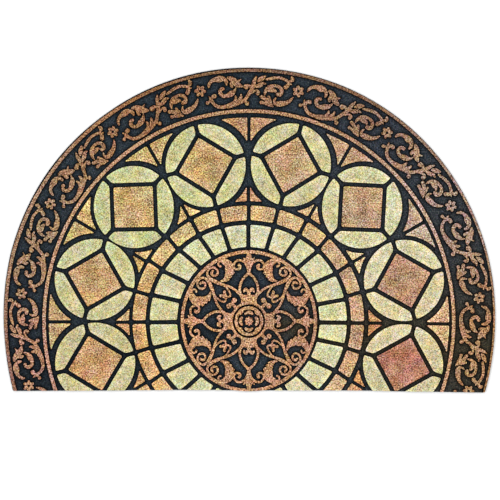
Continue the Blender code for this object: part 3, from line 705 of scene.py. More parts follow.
def outlines(tris):
    """Closed rings of point numbers round a set of counter-clockwise triangles."""
    following = {}
    for start, end in rim_edges(tris).tolist():
        following.setdefault(start, []).append(end)
    rings = []
    while following:
        ring = [min(following)]
        while len(ring) == 1 or ring[-1] != ring[0]:
            ends = following[ring[-1]]
            came_from = ring[-1]
            ring.append(ends.pop())
            if not ends:
                del following[came_from]
        rings.append(ring[:-1])
    return rings


def land_loops(shapes, holes=(), bands=()):
    """The outlines of what shapes and bands cover together, less the holes, inside the sheet's edge."""
    loops = [sheet_outline(), *shapes, *holes, *(edge for pair in bands for edge in pair)]
    points, tris, inside = triangulated(loops)
    first_hole = 1 + len(shapes)
    first_band = first_hole + len(holes)
    outer_edges = range(first_band, len(loops), 2)
    land = []
    for names in inside:
        solid = any(0 < name < first_hole for name in names)
        hollow = any(first_hole <= name < first_band for name in names)
        banded = any(name in names and name + 1 not in names for name in outer_edges)
        land.append(0 in names and (banded or (solid and not hollow)))
    lands = facing_up(points, tris[np.array(land)])
    found = [points[ring] for ring in outlines(lands)]
    return [loop for loop in found if abs(loop_area(loop)) > SMALL_LOOP_AREA]


def eased(loop, slack):
    """A closed loop without the points that stand less than the slack off the line past them, taken
    out in turns so that no two neighbours go at once."""
    for _ in range(EASING_ROUNDS):
        before, after = np.roll(loop, 1, axis=0), np.roll(loop, -1, axis=0)
        line, arm = after - before, loop - before
        length = np.hypot(*line.T)
        off = np.abs(line[:, 0] * arm[:, 1] - line[:, 1] * arm[:, 0]) / np.maximum(length, TINY)
        drop = (off < slack) & (np.arange(len(loop)) % 2 == 0) & (length < LONGEST_EASED_LINE)
        if not drop.any() or len(loop) - drop.sum() < LEAST_EASED_POINTS:
            break
        loop = loop[~drop]
    return loop


def normals(loop):
    """The unit normal at each point of a closed loop, to the right of the way that it runs."""
    along = np.roll(loop, -1, axis=0) - np.roll(loop, 1, axis=0)
    along /= np.maximum(np.linalg.norm(along, axis=1, keepdims=True), TINY)
    return pairs(along[:, 1], -along[:, 0])


def signed_distance(points, edge_points, edge_normals):
    """The distance from each point to the nearest edge point, negative on the inner side of its normal."""
    squares_of_edge = (edge_points**2).sum(axis=1)
    result = np.empty(len(points))
    for start in range(0, len(points), DISTANCE_BLOCK):
        block = points[start:start + DISTANCE_BLOCK]
        near = (squares_of_edge - 2 * block @ edge_points.T).argmin(axis=1)
        away = block - edge_points[near]
        side = np.sign((away * edge_normals[near]).sum(axis=1))
        result[start:start + DISTANCE_BLOCK] = side * np.linalg.norm(away, axis=1)
    return result


def edge_of(loops):
    """All points of some loops, and the normal at each."""
    return np.vstack(loops), np.vstack([normals(loop) for loop in loops])


def clear_of(edge, points, gap):
    """The points that stand farther than a gap outside an edge, or inside it where the gap is negative."""
    away = signed_distance(points, *edge)
    return points[away > gap if gap > 0 else away < gap]


def honeycomb(loops, step):
    """Points of an even triangular grid over the box of some loops."""
    every = np.vstack(loops)
    low, high = every.min(axis=0), every.max(axis=0)
    rows = np.arange(low[1], high[1], step * math.sqrt(3) / 2)
    columns = np.arange(low[0], high[0], step)
    x = columns[None, :] + (np.arange(len(rows)) % 2)[:, None] * step / 2
    return pairs(x, np.broadcast_to(rows[:, None], x.shape)).reshape(-1, 2)


def lumps(points, wavelength, seed):
    """A sum of plane waves in seeded directions about one wavelength, of about unit spread."""
    rng = np.random.default_rng(seed)
    angle = rng.uniform(0, 2 * math.pi, WAVE_COUNT)
    number = 2 * math.pi / (wavelength * rng.uniform(*WAVE_SPREAD, WAVE_COUNT))
    phase = rng.uniform(0, 2 * math.pi, WAVE_COUNT)
    waves = polar(number, angle)
    return np.cos(points @ waves.T + phase).sum(axis=1) / math.sqrt(WAVE_COUNT / 2)


def placed(points, height):
    """Points of the sheet, in chart units, as world points in metres at a height or heights."""
    flat = (points - MIDDLE) * UNIT
    return np.concatenate([flat, np.broadcast_to(np.reshape(height, (-1, 1)), (len(flat), 1))], axis=1)


def rise_and_fall(points, seed):
    """The waves of a pile or crumb surface at points in metres: the sum of the fine and the broad ones."""
    return sum(share * lumps(points, size, seed + row) for row, (share, size) in enumerate(WAVES))


def solid_mesh(name, verts, faces):
    """A mesh from an array of vertices and a list of faces."""
    mesh = bpy.data.meshes.new(name)
    mesh.from_pydata(verts.tolist(), [], faces)
    return mesh


def vertex_places(mesh):
    """The places of a mesh's vertices."""
    places = np.empty(len(mesh.vertices) * 3, dtype=np.float32)
    mesh.vertices.foreach_get("co", places)
    return places.reshape(-1, 3)


def raise_mesh(mesh, sign):
    """Move a mesh's vertices up the sheet by the straight edge's sag, or down with sign -1."""
    places = vertex_places(mesh)
    places[:, :2] = (lifted(places[:, :2] / UNIT + MIDDLE, sign) - MIDDLE) * UNIT
    mesh.vertices.foreach_set("co", places.ravel())


def cut_at_edge(mesh):
    """Take away what lies past the sheet's straight edge, and close the cut. For the cut the mesh stands
    higher by the edge's sag, which makes that edge a plane."""
    raise_mesh(mesh, 1)
    body = bmesh.new()
    body.from_mesh(mesh)
    cut = bmesh.ops.bisect_plane(
        body, geom=[*body.verts, *body.edges, *body.faces], dist=ON_CUT, clear_outer=True,
        plane_co=(0, -MIDDLE[1] * UNIT, 0), plane_no=(0, -1, 0),
    )
    edges = [item for item in cut["geom_cut"] if isinstance(item, bmesh.types.BMEdge) and item.is_boundary]
    bmesh.ops.holes_fill(body, edges=edges, sides=0)
    body.to_mesh(mesh)
    body.free()
    raise_mesh(mesh, -1)


def flock_slabs(name, fields):
    """Slabs topped with flock, one in each closed contour.

    Ring k of a slab is its contour moved inwards along its normal by the profile's distance, at the
    profile's height. Further in, a ring is centre + v (last ring - centre) with v falling to 0, its
    height is the flock's top plus waves of its place, and one point closes the slab at each end. A
    second value kept at each vertex is its lightness, a painted highlight that is higher near the contour.
    """
    sizes = bpy.context.scene.mat_sizes
    verts, faces, light, first = [], [], [], 0
    for field in fields:
        contour = (field - MIDDLE) * UNIT
        count = len(contour)
        inward = -normals(contour)
        rings = [contour + step * inward for step, _ in FLOCK_PROFILE]
        centre = contour.mean(axis=0)
        reach = np.linalg.norm(contour - centre, axis=1).max()
        inner = max(LEAST_SLAB_RINGS, int(reach / (SLAB_RING_STEP * UNIT)))
        rings += [centre + v * (rings[-1] - centre) for v in np.linspace(1, 0, inner)[1:-1]]
        flat = np.vstack([*rings, centre, centre])
        drop = np.zeros(len(rings))
        drop[:len(FLOCK_PROFILE)] = [fall for _, fall in FLOCK_PROFILE]
        ends = [sizes.flock_top, sizes.flock_top - drop[0]]
        height = np.concatenate([np.repeat(sizes.flock_top - drop, count), ends])
        wavy = np.concatenate([np.repeat(np.arange(len(rings)) >= WALL_ROWS, count), [True, False]])
        waves = wavy * sizes.flock_waves * rise_and_fall(flat, FLOCK_SEED)
        verts.append(np.column_stack([flat, height + waves]))
        depth = signed_distance(flat, contour, -inward)
        # Painted highlight: each field is lighter near its edge, as if its rim caught the light
        middle_light, edge_highlight, edge_width = FIELD_EDGE_HIGHLIGHT
        light.append(middle_light + edge_highlight * np.exp(-((depth / edge_width) ** 2)))
        here, there = np.arange(count), np.roll(np.arange(count), -1)
        row = count * np.arange(len(rings) - 1)[:, None]
        quads = np.stack([row + here, row + there, row + count + there, row + count + here], axis=-1)
        last = count * (len(rings) - 1)
        caps = np.concatenate([
            np.stack([last + here, last + there, np.full(count, len(flat) - 2)], axis=-1),
            np.stack([there, here, np.full(count, len(flat) - 1)], axis=-1),
        ])
        faces += (quads.reshape(-1, 4) + first).tolist() + (caps + first).tolist()
        first += len(flat)
    mesh = solid_mesh(name, np.concatenate(verts), faces)
    mesh.attributes.new("light", "FLOAT", "POINT").data.foreach_set("value", np.concatenate(light))
    cut_at_edge(mesh)
    return mesh


def flock_web(name, loops):
    """Flock over any outline: inside the loops the height is the flock's top less an edge fall that
    shrinks with the square of the distance to the nearest outline, plus waves of its place."""
    sizes = bpy.context.scene.mat_sizes
    edge = edge_of(loops)
    ridge = clear_of(edge, edge[0] - RIDGE_STEP * edge[1], -RIDGE_CLEAR * RIDGE_STEP)
    pile = clear_of(edge, honeycomb(loops, PILE_STEP), -PILE_CLEAR * RIDGE_STEP)
    points, tris, inside = triangulated(loops, np.vstack([ridge, pile]))
    tris = facing_up(points, tris[np.array([len(names) % 2 == 1 for names in inside])])
    used, tris = np.unique(tris, return_inverse=True)
    points, tris = points[used], tris.reshape(-1, 3)
    count = len(points)
    depth = np.maximum(-signed_distance(points, *edge), 0) * UNIT
    share = np.clip(1 - depth / FLOCK_PROFILE[-1][0], 0, 1)
    waves = sizes.flock_waves * rise_and_fall((points - MIDDLE) * UNIT, FLOCK_SEED)
    top = sizes.flock_top - FLOCK_PROFILE[1][1] * share**2 + (1 - share) * waves
    verts = np.vstack([placed(points, sizes.flock_top - FLOCK_PROFILE[0][1]), placed(points, top)])
    rim = rim_edges(tris)
    walls = np.column_stack([rim[:, 0], rim[:, 1], rim[:, 1] + count, rim[:, 0] + count])
    faces = (tris + count).tolist() + tris[:, ::-1].tolist() + walls.tolist()
    return solid_mesh(name, verts, faces)


def sheet_mesh(name):
    """The rubber sheet: lands and channel floor from above, walls between them, edge and underside.

    The floor's height is its level plus waves of its place. A second value kept at each vertex is
    its distance from the nearest land, 0 on the lands and their walls; the rubber's painted shade reads it.
    """
    sizes = bpy.context.scene.mat_sizes
    edge = sheet_outline()
    border, border_holes = border_shapes()
    shapes = wedges(*CREAM_WEDGES, CREAM_CHANNELS) + wedges(*TAN_WEDGES, TAN_CHANNELS)
    shapes += squares() + petals()
    shapes += triangles(*OUTER_TRIANGLE, OUTER_LINES) + triangles(*INNER_TRIANGLE, INNER_LINES)
    shapes += border + medallion_shapes() + hub_shapes()
    bands = [band(*radii) for radii in (OUTER_BAND, THIN_RING, MEDALLION_RING, WEB_BASE, HUB_ANNULUS)]
    loops = land_loops(shapes, border_holes, bands)
    land_edge = edge_of(loops)
    ring = land_edge[0] + CHANNEL_RING * land_edge[1]
    beside = clear_of(land_edge, ring, CHANNEL_RING_CLEAR * CHANNEL_RING)[::2]
    floor = clear_of(land_edge, honeycomb([edge], FLOOR_STEP), FLOOR_CLEAR * CHANNEL_RING)
    outer_loops = [edge] + [eased(loop, SHEET_SLACK) for loop in loops]
    points, tris, inside = triangulated(outer_loops, np.vstack([beside, floor]))
    tris = facing_up(points, tris)
    within = np.array([0 in names for names in inside])
    land = np.array([sum(name > 0 for name in names) % 2 == 1 for names in inside])
    tris, land = tris[within], land[within]
    count = len(points)
    away = np.maximum(signed_distance(points, *land_edge), 0) * UNIT
    waves = sizes.crumb_waves * np.clip(away / CRUMB_FADE, 0, 1)
    waves = waves * rise_and_fall((points - MIDDLE) * UNIT, CRUMB_SEED)
    rim = rim_edges(tris)
    shore = rim_edges(tris[land])
    low, floor_level, land_level, foot = 0, count, 2 * count, 3 * count
    inset = points.copy()
    order = outlines(tris)[0]
    inset[order] -= normals(points[order]) * sizes.edge_round / UNIT
    verts = np.vstack([
        placed(inset, 0.0),
        placed(points, sizes.channel_floor + waves),
        placed(points, sizes.flock_top - sizes.flock_depth),
        placed(points, sizes.edge_round),
    ])
    faces = (tris + np.where(land, land_level, floor_level)[:, None]).tolist()
    walls = ((shore, floor_level, land_level), (rim, low, foot), (rim, foot, floor_level))
    for edges, bottom, upper in walls:
        a, b = edges.T
        faces += np.column_stack([a + bottom, b + bottom, b + upper, a + upper]).tolist()
    faces.append(order[::-1])
    used = np.unique(np.concatenate([np.ravel(face) for face in faces]))
    number = np.zeros(len(verts), dtype=int)
    number[used] = np.arange(len(used))
    mesh = solid_mesh(name, verts[used], [number[face].tolist() for face in faces])
    clear = np.concatenate([np.zeros(count), away, np.zeros(2 * count)])[used]
    mesh.attributes.new("clearance", "FLOAT", "POINT").data.foreach_set("value", clear.astype(np.float32))
    return mesh


# The middle of the even sheet's box, which stands at the origin
MIDDLE = (sheet_outline(False).min(axis=0) + sheet_outline(False).max(axis=0)) / 2

# Slow changes of the print's hue round the mat: rows of angle and spread in degrees, and factor for
# red, green and blue
SQUARE_WASHES = (
    (-12, 20, (0.86, 0.59, 0.78)), (30, 22, (0.95, 0.93, 1.15)), (60, 18, (1.05, 1.16, 1.18)),
    (125, 28, (1.07, 1.20, 1.00)), (188, 24, (1.04, 0.98, 0.88)),
)
TAN_WEDGE_WASHES = (
    (-12, 18, (0.96, 0.91, 1.10)), (30, 18, (0.87, 0.89, 1.06)), (60, 18, (1.03, 1.08, 1.05)),
    (120, 28, (1.06, 1.19, 1.06)), (185, 30, (1.03, 0.93, 0.80)),
)
PETAL_WASHES = (
    (-8, 22, (1.14, 1.05, 1.14)), (30, 20, (1.13, 1.13, 1.27)), (135, 34, (0.93, 1.00, 0.91)),
    (190, 20, (0.98, 0.93, 0.89)),
)
CREAM_WEDGE_WASHES = (
    (-8, 22, (1.06, 1.09, 1.08)), (88, 18, (1.02, 1.05, 1.16)), (120, 14, (1.04, 1.09, 1.09)),
    (190, 24, (1.0, 0.96, 0.87)),
)
OUTER_TRIANGLE_WASHES = (
    (-4, 16, (1.24, 1.14, 1.28)), (31, 18, (0.97, 1.00, 1.46)), (62, 16, (0.96, 0.88, 0.97)),
    (90, 14, (0.92, 0.76, 0.84)), (135, 30, (1.12, 1.16, 0.92)),
)
INNER_TRIANGLE_WASHES = (
    (-10, 20, (0.91, 0.67, 0.60)), (34, 26, (1.19, 1.55, 1.86)), (90, 14, (0.93, 0.82, 0.98)),
    (138, 28, (1.08, 1.25, 1.16)),
)
RIM_WASHES = (
    (-8, 20, (1.42, 1.40, 1.06)), (28, 20, (1.50, 1.90, 2.75)), (75, 25, (0.90, 0.92, 1.00)),
    (120, 16, (1.19, 1.05, 0.80)), (152, 20, (1.68, 1.96, 2.35)), (192, 16, (1.15, 1.15, 1.60)),
)
THIN_RING_WASHES = (
    (-5, 20, (1.15, 1.16, 1.08)), (30, 18, (1.19, 1.46, 2.00)), (60, 14, (0.92, 0.98, 1.02)),
    (95, 24, (0.91, 0.92, 0.84)), (150, 20, (1.06, 1.15, 1.16)), (190, 18, (1.05, 1.04, 1.27)),
)
MEDALLION_WASHES = ((0, 45, (0.90, 0.86, 0.92)), (95, 45, (1.12, 1.14, 1.12)), (185, 30, (1.08, 1.03, 1.0)))
SCROLL_WASHES = (
    (-10, 20, (1.13, 1.15, 1.05)), (30, 18, (1.05, 1.30, 1.80)), (62, 14, (0.84, 0.86, 0.97)),
    (118, 20, (0.88, 0.81, 0.72)), (155, 18, (0.97, 1.12, 1.20)), (190, 16, (1.14, 1.08, 1.27)),
)
RUBBER_WASHES = (
    (-8, 18, (1.45, 0.90, 0.45)), (25, 18, (1.22, 1.04, 0.95)), (58, 14, (1.20, 1.06, 1.10)),
    (100, 26, (0.72, 0.78, 0.82)), (165, 16, (0.78, 0.78, 0.80)), (195, 14, (0.50, 0.52, 0.55)),
)


def tint_of(places, washes):
    """The slow change of hue at some places, as a factor for each channel: 1 plus, for each wash, its
    change times a bell curve of the angle round the pattern centre."""
    centre_y = (CENTRE_ABOVE_EDGE - MIDDLE[1]) * UNIT
    angle = bearing(places[:, 0] + MIDDLE[0] * UNIT, places[:, 1] - centre_y)
    tint = np.ones((len(places), 3))
    for middle, spread, factors in washes:
        tint += np.exp(-(((angle - middle) / spread) ** 2))[:, None] * (np.array(factors) - 1)
    return tint


def add_piece(mesh, material, washes):
    """Put a finished mesh in the scene as a piece of its name, with its tint and its material. The tint
    of a slab holds its painted edge highlight as well.
    """
    tint = np.ones((len(mesh.vertices), 4), dtype=np.float32)
    tint[:, :3] = tint_of(vertex_places(mesh), washes)
    # Painted highlight: a slab's lightness near its edges goes into its tint
    if "light" in mesh.attributes:
        light = np.empty(len(mesh.vertices), dtype=np.float32)
        mesh.attributes["light"].data.foreach_get("value", light)
        tint[:, :3] *= light[:, None]
    mesh.attributes.new("tint", "FLOAT_COLOR", "POINT").data.foreach_set("color", tint.ravel())
    mesh.polygons.foreach_set("use_smooth", np.ones(len(mesh.polygons), dtype=bool))
    mesh.set_sharp_from_angle(angle=math.radians(SHARP_ANGLE))
    mesh.update()
    mesh.materials.append(material)
    piece = bpy.data.objects.new(mesh.name, mesh)
    bpy.context.scene.collection.objects.link(piece)
    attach(piece, "root")
    return piece


# Numbers of a mix node's inputs for its share and its two colours, and of its colour output
MIX_INPUTS = (0, 6, 7)
MIX_OUTPUT = 2


class Shader:
    """A material's node tree, with short calls for the nodes that the mat's finishes use."""

    def __init__(self, name):
        self.material = bpy.data.materials.new(name)
        self.material.use_nodes = True
        self.tree = self.material.node_tree
        self.surface = self.tree.nodes["Principled BSDF"]
        self.place = self.node("ShaderNodeTexCoord").outputs["Object"]

    def node(self, kind, **settings):
        """A new node with some of its settings."""
        made = self.tree.nodes.new(kind)
        for key, value in settings.items():
            setattr(made, key, value)
        return made

    def join(self, source, target):
        """Link an output to an input, or set the input to a constant."""
        if isinstance(source, bpy.types.NodeSocket):
            self.tree.links.new(source, target)
        else:
            target.default_value = source

    def noise(self, size, detail=1.0, roughness=0.5, shift=0.0):
        """Noise whose features are about a size in metres: its value and its colour."""
        move = self.node("ShaderNodeMapping")
        move.inputs["Location"].default_value = (shift, 2 * shift, 3 * shift)
        self.join(self.place, move.inputs["Vector"])
        made = self.node("ShaderNodeTexNoise")
        for key, value in (
            ("Vector", move.outputs["Vector"]), ("Scale", 1.0 / size), ("Detail", detail),
            ("Roughness", roughness),
        ):
            self.join(value, made.inputs[key])
        return made.outputs["Fac"], made.outputs["Color"]

    def ramp(self, value, stops):
        """Colours at places along a value: rows of place and colour."""
        made = self.node("ShaderNodeValToRGB")
        elements = made.color_ramp.elements
        elements[0].position, elements[1].position = stops[0][0], stops[-1][0]
        for place, _ in stops[1:-1]:
            elements.new(place)
        for element, (_, tone) in zip(elements, stops):
            element.color = (*tone, 1.0)
        self.join(value, made.inputs["Fac"])
        return made.outputs["Color"]

    def mix(self, kind, share, first, second):
        """Two colours blended or multiplied. A share or colour is an output or a constant."""
        made = self.node("ShaderNodeMix", data_type="RGBA", blend_type=kind)
        for number, value in zip(MIX_INPUTS, (share, first, second)):
            self.join(value, made.inputs[number])
        return made.outputs[MIX_OUTPUT]

    def hued(self, base, size, gains, shift):
        """A colour times 1 plus, in each channel, a gain times that channel of a noise less a half."""
        _, noise = self.noise(size, shift=shift)
        factor = self.node("ShaderNodeVectorMath", operation="MULTIPLY_ADD")
        for value, socket in zip((noise, gains, [1 - gain / 2 for gain in gains]), factor.inputs):
            self.join(value, socket)
        return self.mix("MULTIPLY", 1.0, base, factor.outputs[0])

    def math(self, kind, *values):
        """Values put together by a sum, a product, or a product and a sum."""
        made = self.node("ShaderNodeMath", operation=kind)
        for value, socket in zip(values, made.inputs):
            self.join(value, socket)
        return made.outputs[0]

    def attribute(self, name):
        """An attribute of the mesh: its colour and its value."""
        made = self.node("ShaderNodeAttribute", attribute_name=name)
        return made.outputs["Color"], made.outputs["Fac"]

    def bump(self, height, depth, strength):
        """Give the surface the relief of a value times a depth in metres."""
        made = self.node("ShaderNodeBump")
        made.inputs["Strength"].default_value = strength
        made.inputs["Distance"].default_value = depth
        self.join(height, made.inputs["Height"])
        self.join(made.outputs["Normal"], self.surface.inputs["Normal"])

    def finish(self, base, roughness, specular, sheen=0.0):
        """Give the surface its colour, roughness, specular level and sheen."""
        for key, value in (
            ("Base Color", base), ("Roughness", roughness), ("Specular IOR Level", specular),
            ("Sheen Weight", sheen), ("Sheen Roughness", SHEEN_ROUGHNESS),
        ):
            self.join(value, self.surface.inputs[key])
        return self.material


def shade(base, factors):
    """A colour times a factor for each channel, kept inside the range of colours."""
    return tuple(min(1.0, value * factor) for value, factor in zip(base, factors))


# Speckle of a printed flock: rows of place in the noise and factor for red, green and blue
TAN_SPECKLE = (
    (0.30, (0.17, 0.13, 0.12)), (0.39, (0.55, 0.45, 0.40)), (0.50, (1.00, 0.98, 0.96)),
    (0.61, (1.45, 1.60, 1.70)), (0.71, (1.90, 2.35, 2.60)),
)
CREAM_SPECKLE = (
    (0.30, (0.30, 0.28, 0.25)), (0.39, (0.70, 0.69, 0.65)), (0.50, (1.00, 1.00, 1.00)),
    (0.61, (1.30, 1.33, 1.42)), (0.71, (1.62, 1.70, 1.95)),
)
COPPER_SPECKLE = (
    (0.31, (0.10, 0.08, 0.07)), (0.41, (0.52, 0.43, 0.38)), (0.50, (1.00, 1.00, 1.00)),
    (0.60, (1.45, 1.62, 1.75)), (0.70, (2.00, 2.60, 3.10)),
)
# Finishes of the flock: speckle, size of its grain in metres, share of blotches in it, gains of the hues
FINISHES = {
    "cream": (CREAM_SPECKLE, 0.0016, 0.27, (1.0, 0.6, 1.0)),
    "tan": (TAN_SPECKLE, 0.0024, 0.34, (1.1, 1.15, 1.1)),
    "copper": (COPPER_SPECKLE, 0.0024, 0.14, (0.8, 0.8, 0.9)),
}
# Hues of the fibres and of soft patches, and of the crumb: size in metres and gain for red, green and blue
FLOCK_HUES = ((0.0028, (0.90, 0.68, 1.60)), (0.022, (0.44, 0.30, 0.80)))
RUBBER_HUES = (0.0026, (1.00, 0.60, 1.10))
BLOTCH_SIZE = 0.020
FIBRE_SIZE = 0.0009
# The flock's relief: share of the grain in it, depth in metres and strength
FLOCK_RELIEF = (0.8, 0.0004, 0.45)
# The flock's roughness, specular level and sheen
FLOCK_SURFACE = (1.0, 0.08, 0.08)
SHEEN_ROUGHNESS = 0.6

# Crumb rubber: its speckle, the size of its grain, and the depth and strength of its relief
RUBBER_SPECKLE = (
    (0.28, (0.20, 0.22, 0.26)), (0.46, (0.82, 0.86, 0.90)), (0.60, (1.70, 1.60, 1.50)),
    (0.74, (3.2, 2.9, 2.7)),
)
RUBBER_GRAIN = 0.0024
RUBBER_RELIEF = (0.0005, 0.5)
RUBBER_ROUGHNESS = 0.9
# How much of the open crumb's colour shows over the painted shade beside the lands: rows of clearance
# times a scale, and share. The gloss is that share times the first value, plus the second, so the painted
# shade reflects less
UNSHADED_SHARES = ((0.12, 0.0), (0.27, 0.33), (0.51, 0.62), (0.95, 1.0))
CLEARANCE_SCALE = 150.0
RUBBER_GLOSS = (0.07, 0.02)

# The floor's paint: size of its mottling in metres, its tones, roughness and specular level
MOTTLE_SIZE = 0.15
PAINT_TONES = ((0.3, (0.99, 0.99, 0.99)), (0.7, (1.0, 1.0, 1.0)))
PAINT_SURFACE = (0.9, 0.1)

# The lamp's place in metres and the camera's sensor in millimetres
LAMP_PLACE = (-0.2, 0.15, 2.6)
SENSOR_WIDTH = 36.0


def tones(base, rows):
    """Stops of a ramp from rows of place and factors of a colour."""
    return [(place, shade(base, factors)) for place, factors in rows]


def flock(name, base, finish, shift):
    """Short dense pile: a speckle of mixed fibres, blotches, hues of fibres and patches, a fibre bump."""
    speckle, grain_size, blotches, gains = FINISHES[finish]
    shader = Shader(name)
    grain, _ = shader.noise(grain_size, detail=1.0, shift=shift)
    blotch, _ = shader.noise(BLOTCH_SIZE, detail=2.0, shift=shift + 1)
    spread = shader.math("MULTIPLY_ADD", blotch, blotches, -blotches / 2)
    value = shader.math("ADD", grain, spread)
    speckled = shader.ramp(value, tones(base, speckle))
    for size, hue in FLOCK_HUES:
        speckled = shader.hued(speckled, size, np.array(hue) * gains, shift + 2)
    # The tint holds the slow hues and, on the slabs, the painted edge highlight
    tint, _ = shader.attribute("tint")
    tinted = shader.mix("MULTIPLY", 1.0, speckled, tint)
    fibre, _ = shader.noise(FIBRE_SIZE, detail=2.0, roughness=0.6, shift=shift + 3)
    grain_share, depth, strength = FLOCK_RELIEF
    relief = shader.math("ADD", fibre, shader.math("MULTIPLY", grain, grain_share))
    shader.bump(relief, depth, strength)
    return shader.finish(tinted, *FLOCK_SURFACE)


def crumb_rubber(name, open_colour, shade_colour):
    """Matt moulded rubber: a painted shade makes it near black beside the lands, a bluish crumb grain where
    it lies open.
    """
    shader = Shader(name)
    _, away = shader.attribute("clearance")
    grain, _ = shader.noise(RUBBER_GRAIN, detail=1.0)
    speck = shader.ramp(grain, tones(open_colour, RUBBER_SPECKLE))
    clearance = shader.math("MULTIPLY", away, CLEARANCE_SCALE)
    unshaded_share = shader.ramp(clearance, [(place, (share,) * 3) for place, share in UNSHADED_SHARES])
    tint, _ = shader.attribute("tint")
    toned = shader.mix("MULTIPLY", 1.0, shader.hued(speck, *RUBBER_HUES, 2.0), tint)
    # Painted shade: the rubber turns near black close to the lands, fading to the open crumb colour with
    # clearance
    base = shader.mix("MIX", unshaded_share, (*shade_colour, 1.0), toned)
    shader.bump(grain, *RUBBER_RELIEF)
    gloss = shader.math("MULTIPLY_ADD", unshaded_share, *RUBBER_GLOSS)
    return shader.finish(base, RUBBER_ROUGHNESS, gloss)


def plain_paint(name, base):
    """The floor's matt finish, with the faintest mottling."""
    shader = Shader(name)
    mottle, _ = shader.noise(MOTTLE_SIZE, detail=2.0)
    return shader.finish(shader.ramp(mottle, tones(base, PAINT_TONES)), *PAINT_SURFACE)


def colours():
    """The scene's colours of the mat."""
    return bpy.context.scene.mat_colours


def add_flock(mesh, name, tone, finish, shift, washes):
    """Put a flocked mesh in the scene with a material of its own."""
    add_piece(mesh, flock(name, tone, finish, shift), washes)


class DOORMAT_OT_flock_petals(bpy.types.Operator):
    """Cream petals, four round each square"""
    bl_idname = "doormat.flock_petals"
    bl_label = "Petals"

    def execute(self, context):
        mesh = flock_slabs("flock_petals", petals())
        add_flock(mesh, "petal_flock", colours().petal, "cream", 0.0, PETAL_WASHES)
        return {"FINISHED"}


class DOORMAT_OT_flock_wedges(bpy.types.Operator):
    """The ring of cream wedges and the ring of tan wedges"""
    bl_idname = "doormat.flock_wedges"
    bl_label = "Rings of wedges"

    def execute(self, context):
        cream = flock_slabs("flock_cream_wedges", wedges(*CREAM_WEDGES, CREAM_CHANNELS))
        add_flock(cream, "cream_wedge_flock", colours().cream_wedge, "cream", 5.0, CREAM_WEDGE_WASHES)
        tan = flock_slabs("flock_tan_wedges", wedges(*TAN_WEDGES, TAN_CHANNELS))
        add_flock(tan, "tan_wedge_flock", colours().tan_wedge, "tan", 10.0, TAN_WEDGE_WASHES)
        return {"FINISHED"}


class DOORMAT_OT_flock_squares(bpy.types.Operator):
    """Tan squares in the middle of the circles"""
    bl_idname = "doormat.flock_squares"
    bl_label = "Squares"

    def execute(self, context):
        mesh = flock_slabs("flock_squares", squares())
        add_flock(mesh, "square_flock", colours().square, "tan", 15.0, SQUARE_WASHES)
        return {"FINISHED"}


class DOORMAT_OT_flock_triangles(bpy.types.Operator):
    """Pairs of tan triangles outside and inside the ring of circles"""
    bl_idname = "doormat.flock_triangles"
    bl_label = "Triangles"

    def execute(self, context):
        outer, inner = (*OUTER_TRIANGLE, OUTER_LINES), (*INNER_TRIANGLE, INNER_LINES)
        for name, tone, shift, plan, washes in (
            ("outer_triangles", colours().outer_triangle, 20.0, outer, OUTER_TRIANGLE_WASHES),
            ("inner_triangles", colours().inner_triangle, 22.0, inner, INNER_TRIANGLE_WASHES),
        ):
            mesh = flock_slabs("flock_" + name, triangles(*plan))
            add_flock(mesh, name + "_flock", tone, "tan", shift, washes)
        return {"FINISHED"}


class DOORMAT_OT_flock_bands(bpy.types.Operator):
    """The copper band round the rim and the thin ring inside the scrolls"""
    bl_idname = "doormat.flock_bands"
    bl_label = "Bands"

    def execute(self, context):
        for name, tone, shift, radii, washes in (
            ("rim_band", colours().rim, 25.0, OUTER_BAND, RIM_WASHES),
            ("thin_ring", colours().thin_ring, 27.0, THIN_RING, THIN_RING_WASHES),
        ):
            mesh = flock_web("flock_" + name, land_loops((), (), [band(*radii)]))
            add_flock(mesh, name + "_flock", tone, "copper", shift, washes)
        return {"FINISHED"}


class DOORMAT_OT_flock_scrolls(bpy.types.Operator):
    """The copper scrolls and rosettes between the bands"""
    bl_idname = "doormat.flock_scrolls"
    bl_label = "Scroll border"

    def execute(self, context):
        mesh = flock_web("flock_scrolls", land_loops(*border_shapes()))
        add_flock(mesh, "scroll_flock", colours().scroll, "copper", 30.0, SCROLL_WASHES)
        return {"FINISHED"}


class DOORMAT_OT_flock_medallion(bpy.types.Operator):
    """The copper filigree medallion with its ring and its hub"""
    bl_idname = "doormat.flock_medallion"
    bl_label = "Medallion"

    def execute(self, context):
        material = flock("medallion_flock", colours().copper, "copper", 35.0)
        web = land_loops(medallion_shapes(), (), [band(*MEDALLION_RING), band(*WEB_BASE)])
        hub = land_loops(hub_shapes(), (), [band(*HUB_ANNULUS)])
        for name, loops in (("flock_medallion", web), ("flock_hub", hub)):
            add_piece(flock_web(name, loops), material, MEDALLION_WASHES)
        return {"FINISHED"}


class DOORMAT_OT_rubber_sheet(bpy.types.Operator):
    """The moulded rubber sheet with its channels and lands"""
    bl_idname = "doormat.rubber_sheet"
    bl_label = "Rubber sheet"

    def execute(self, context):
        material = crumb_rubber("crumb_rubber", colours().rubber, colours().rubber_painted_shade)
        piece = add_piece(sheet_mesh("rubber_sheet"), material, RUBBER_WASHES)
        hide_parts("rubber_mat")
        edge = sheet_outline() * UNIT
        return {"FINISHED"}


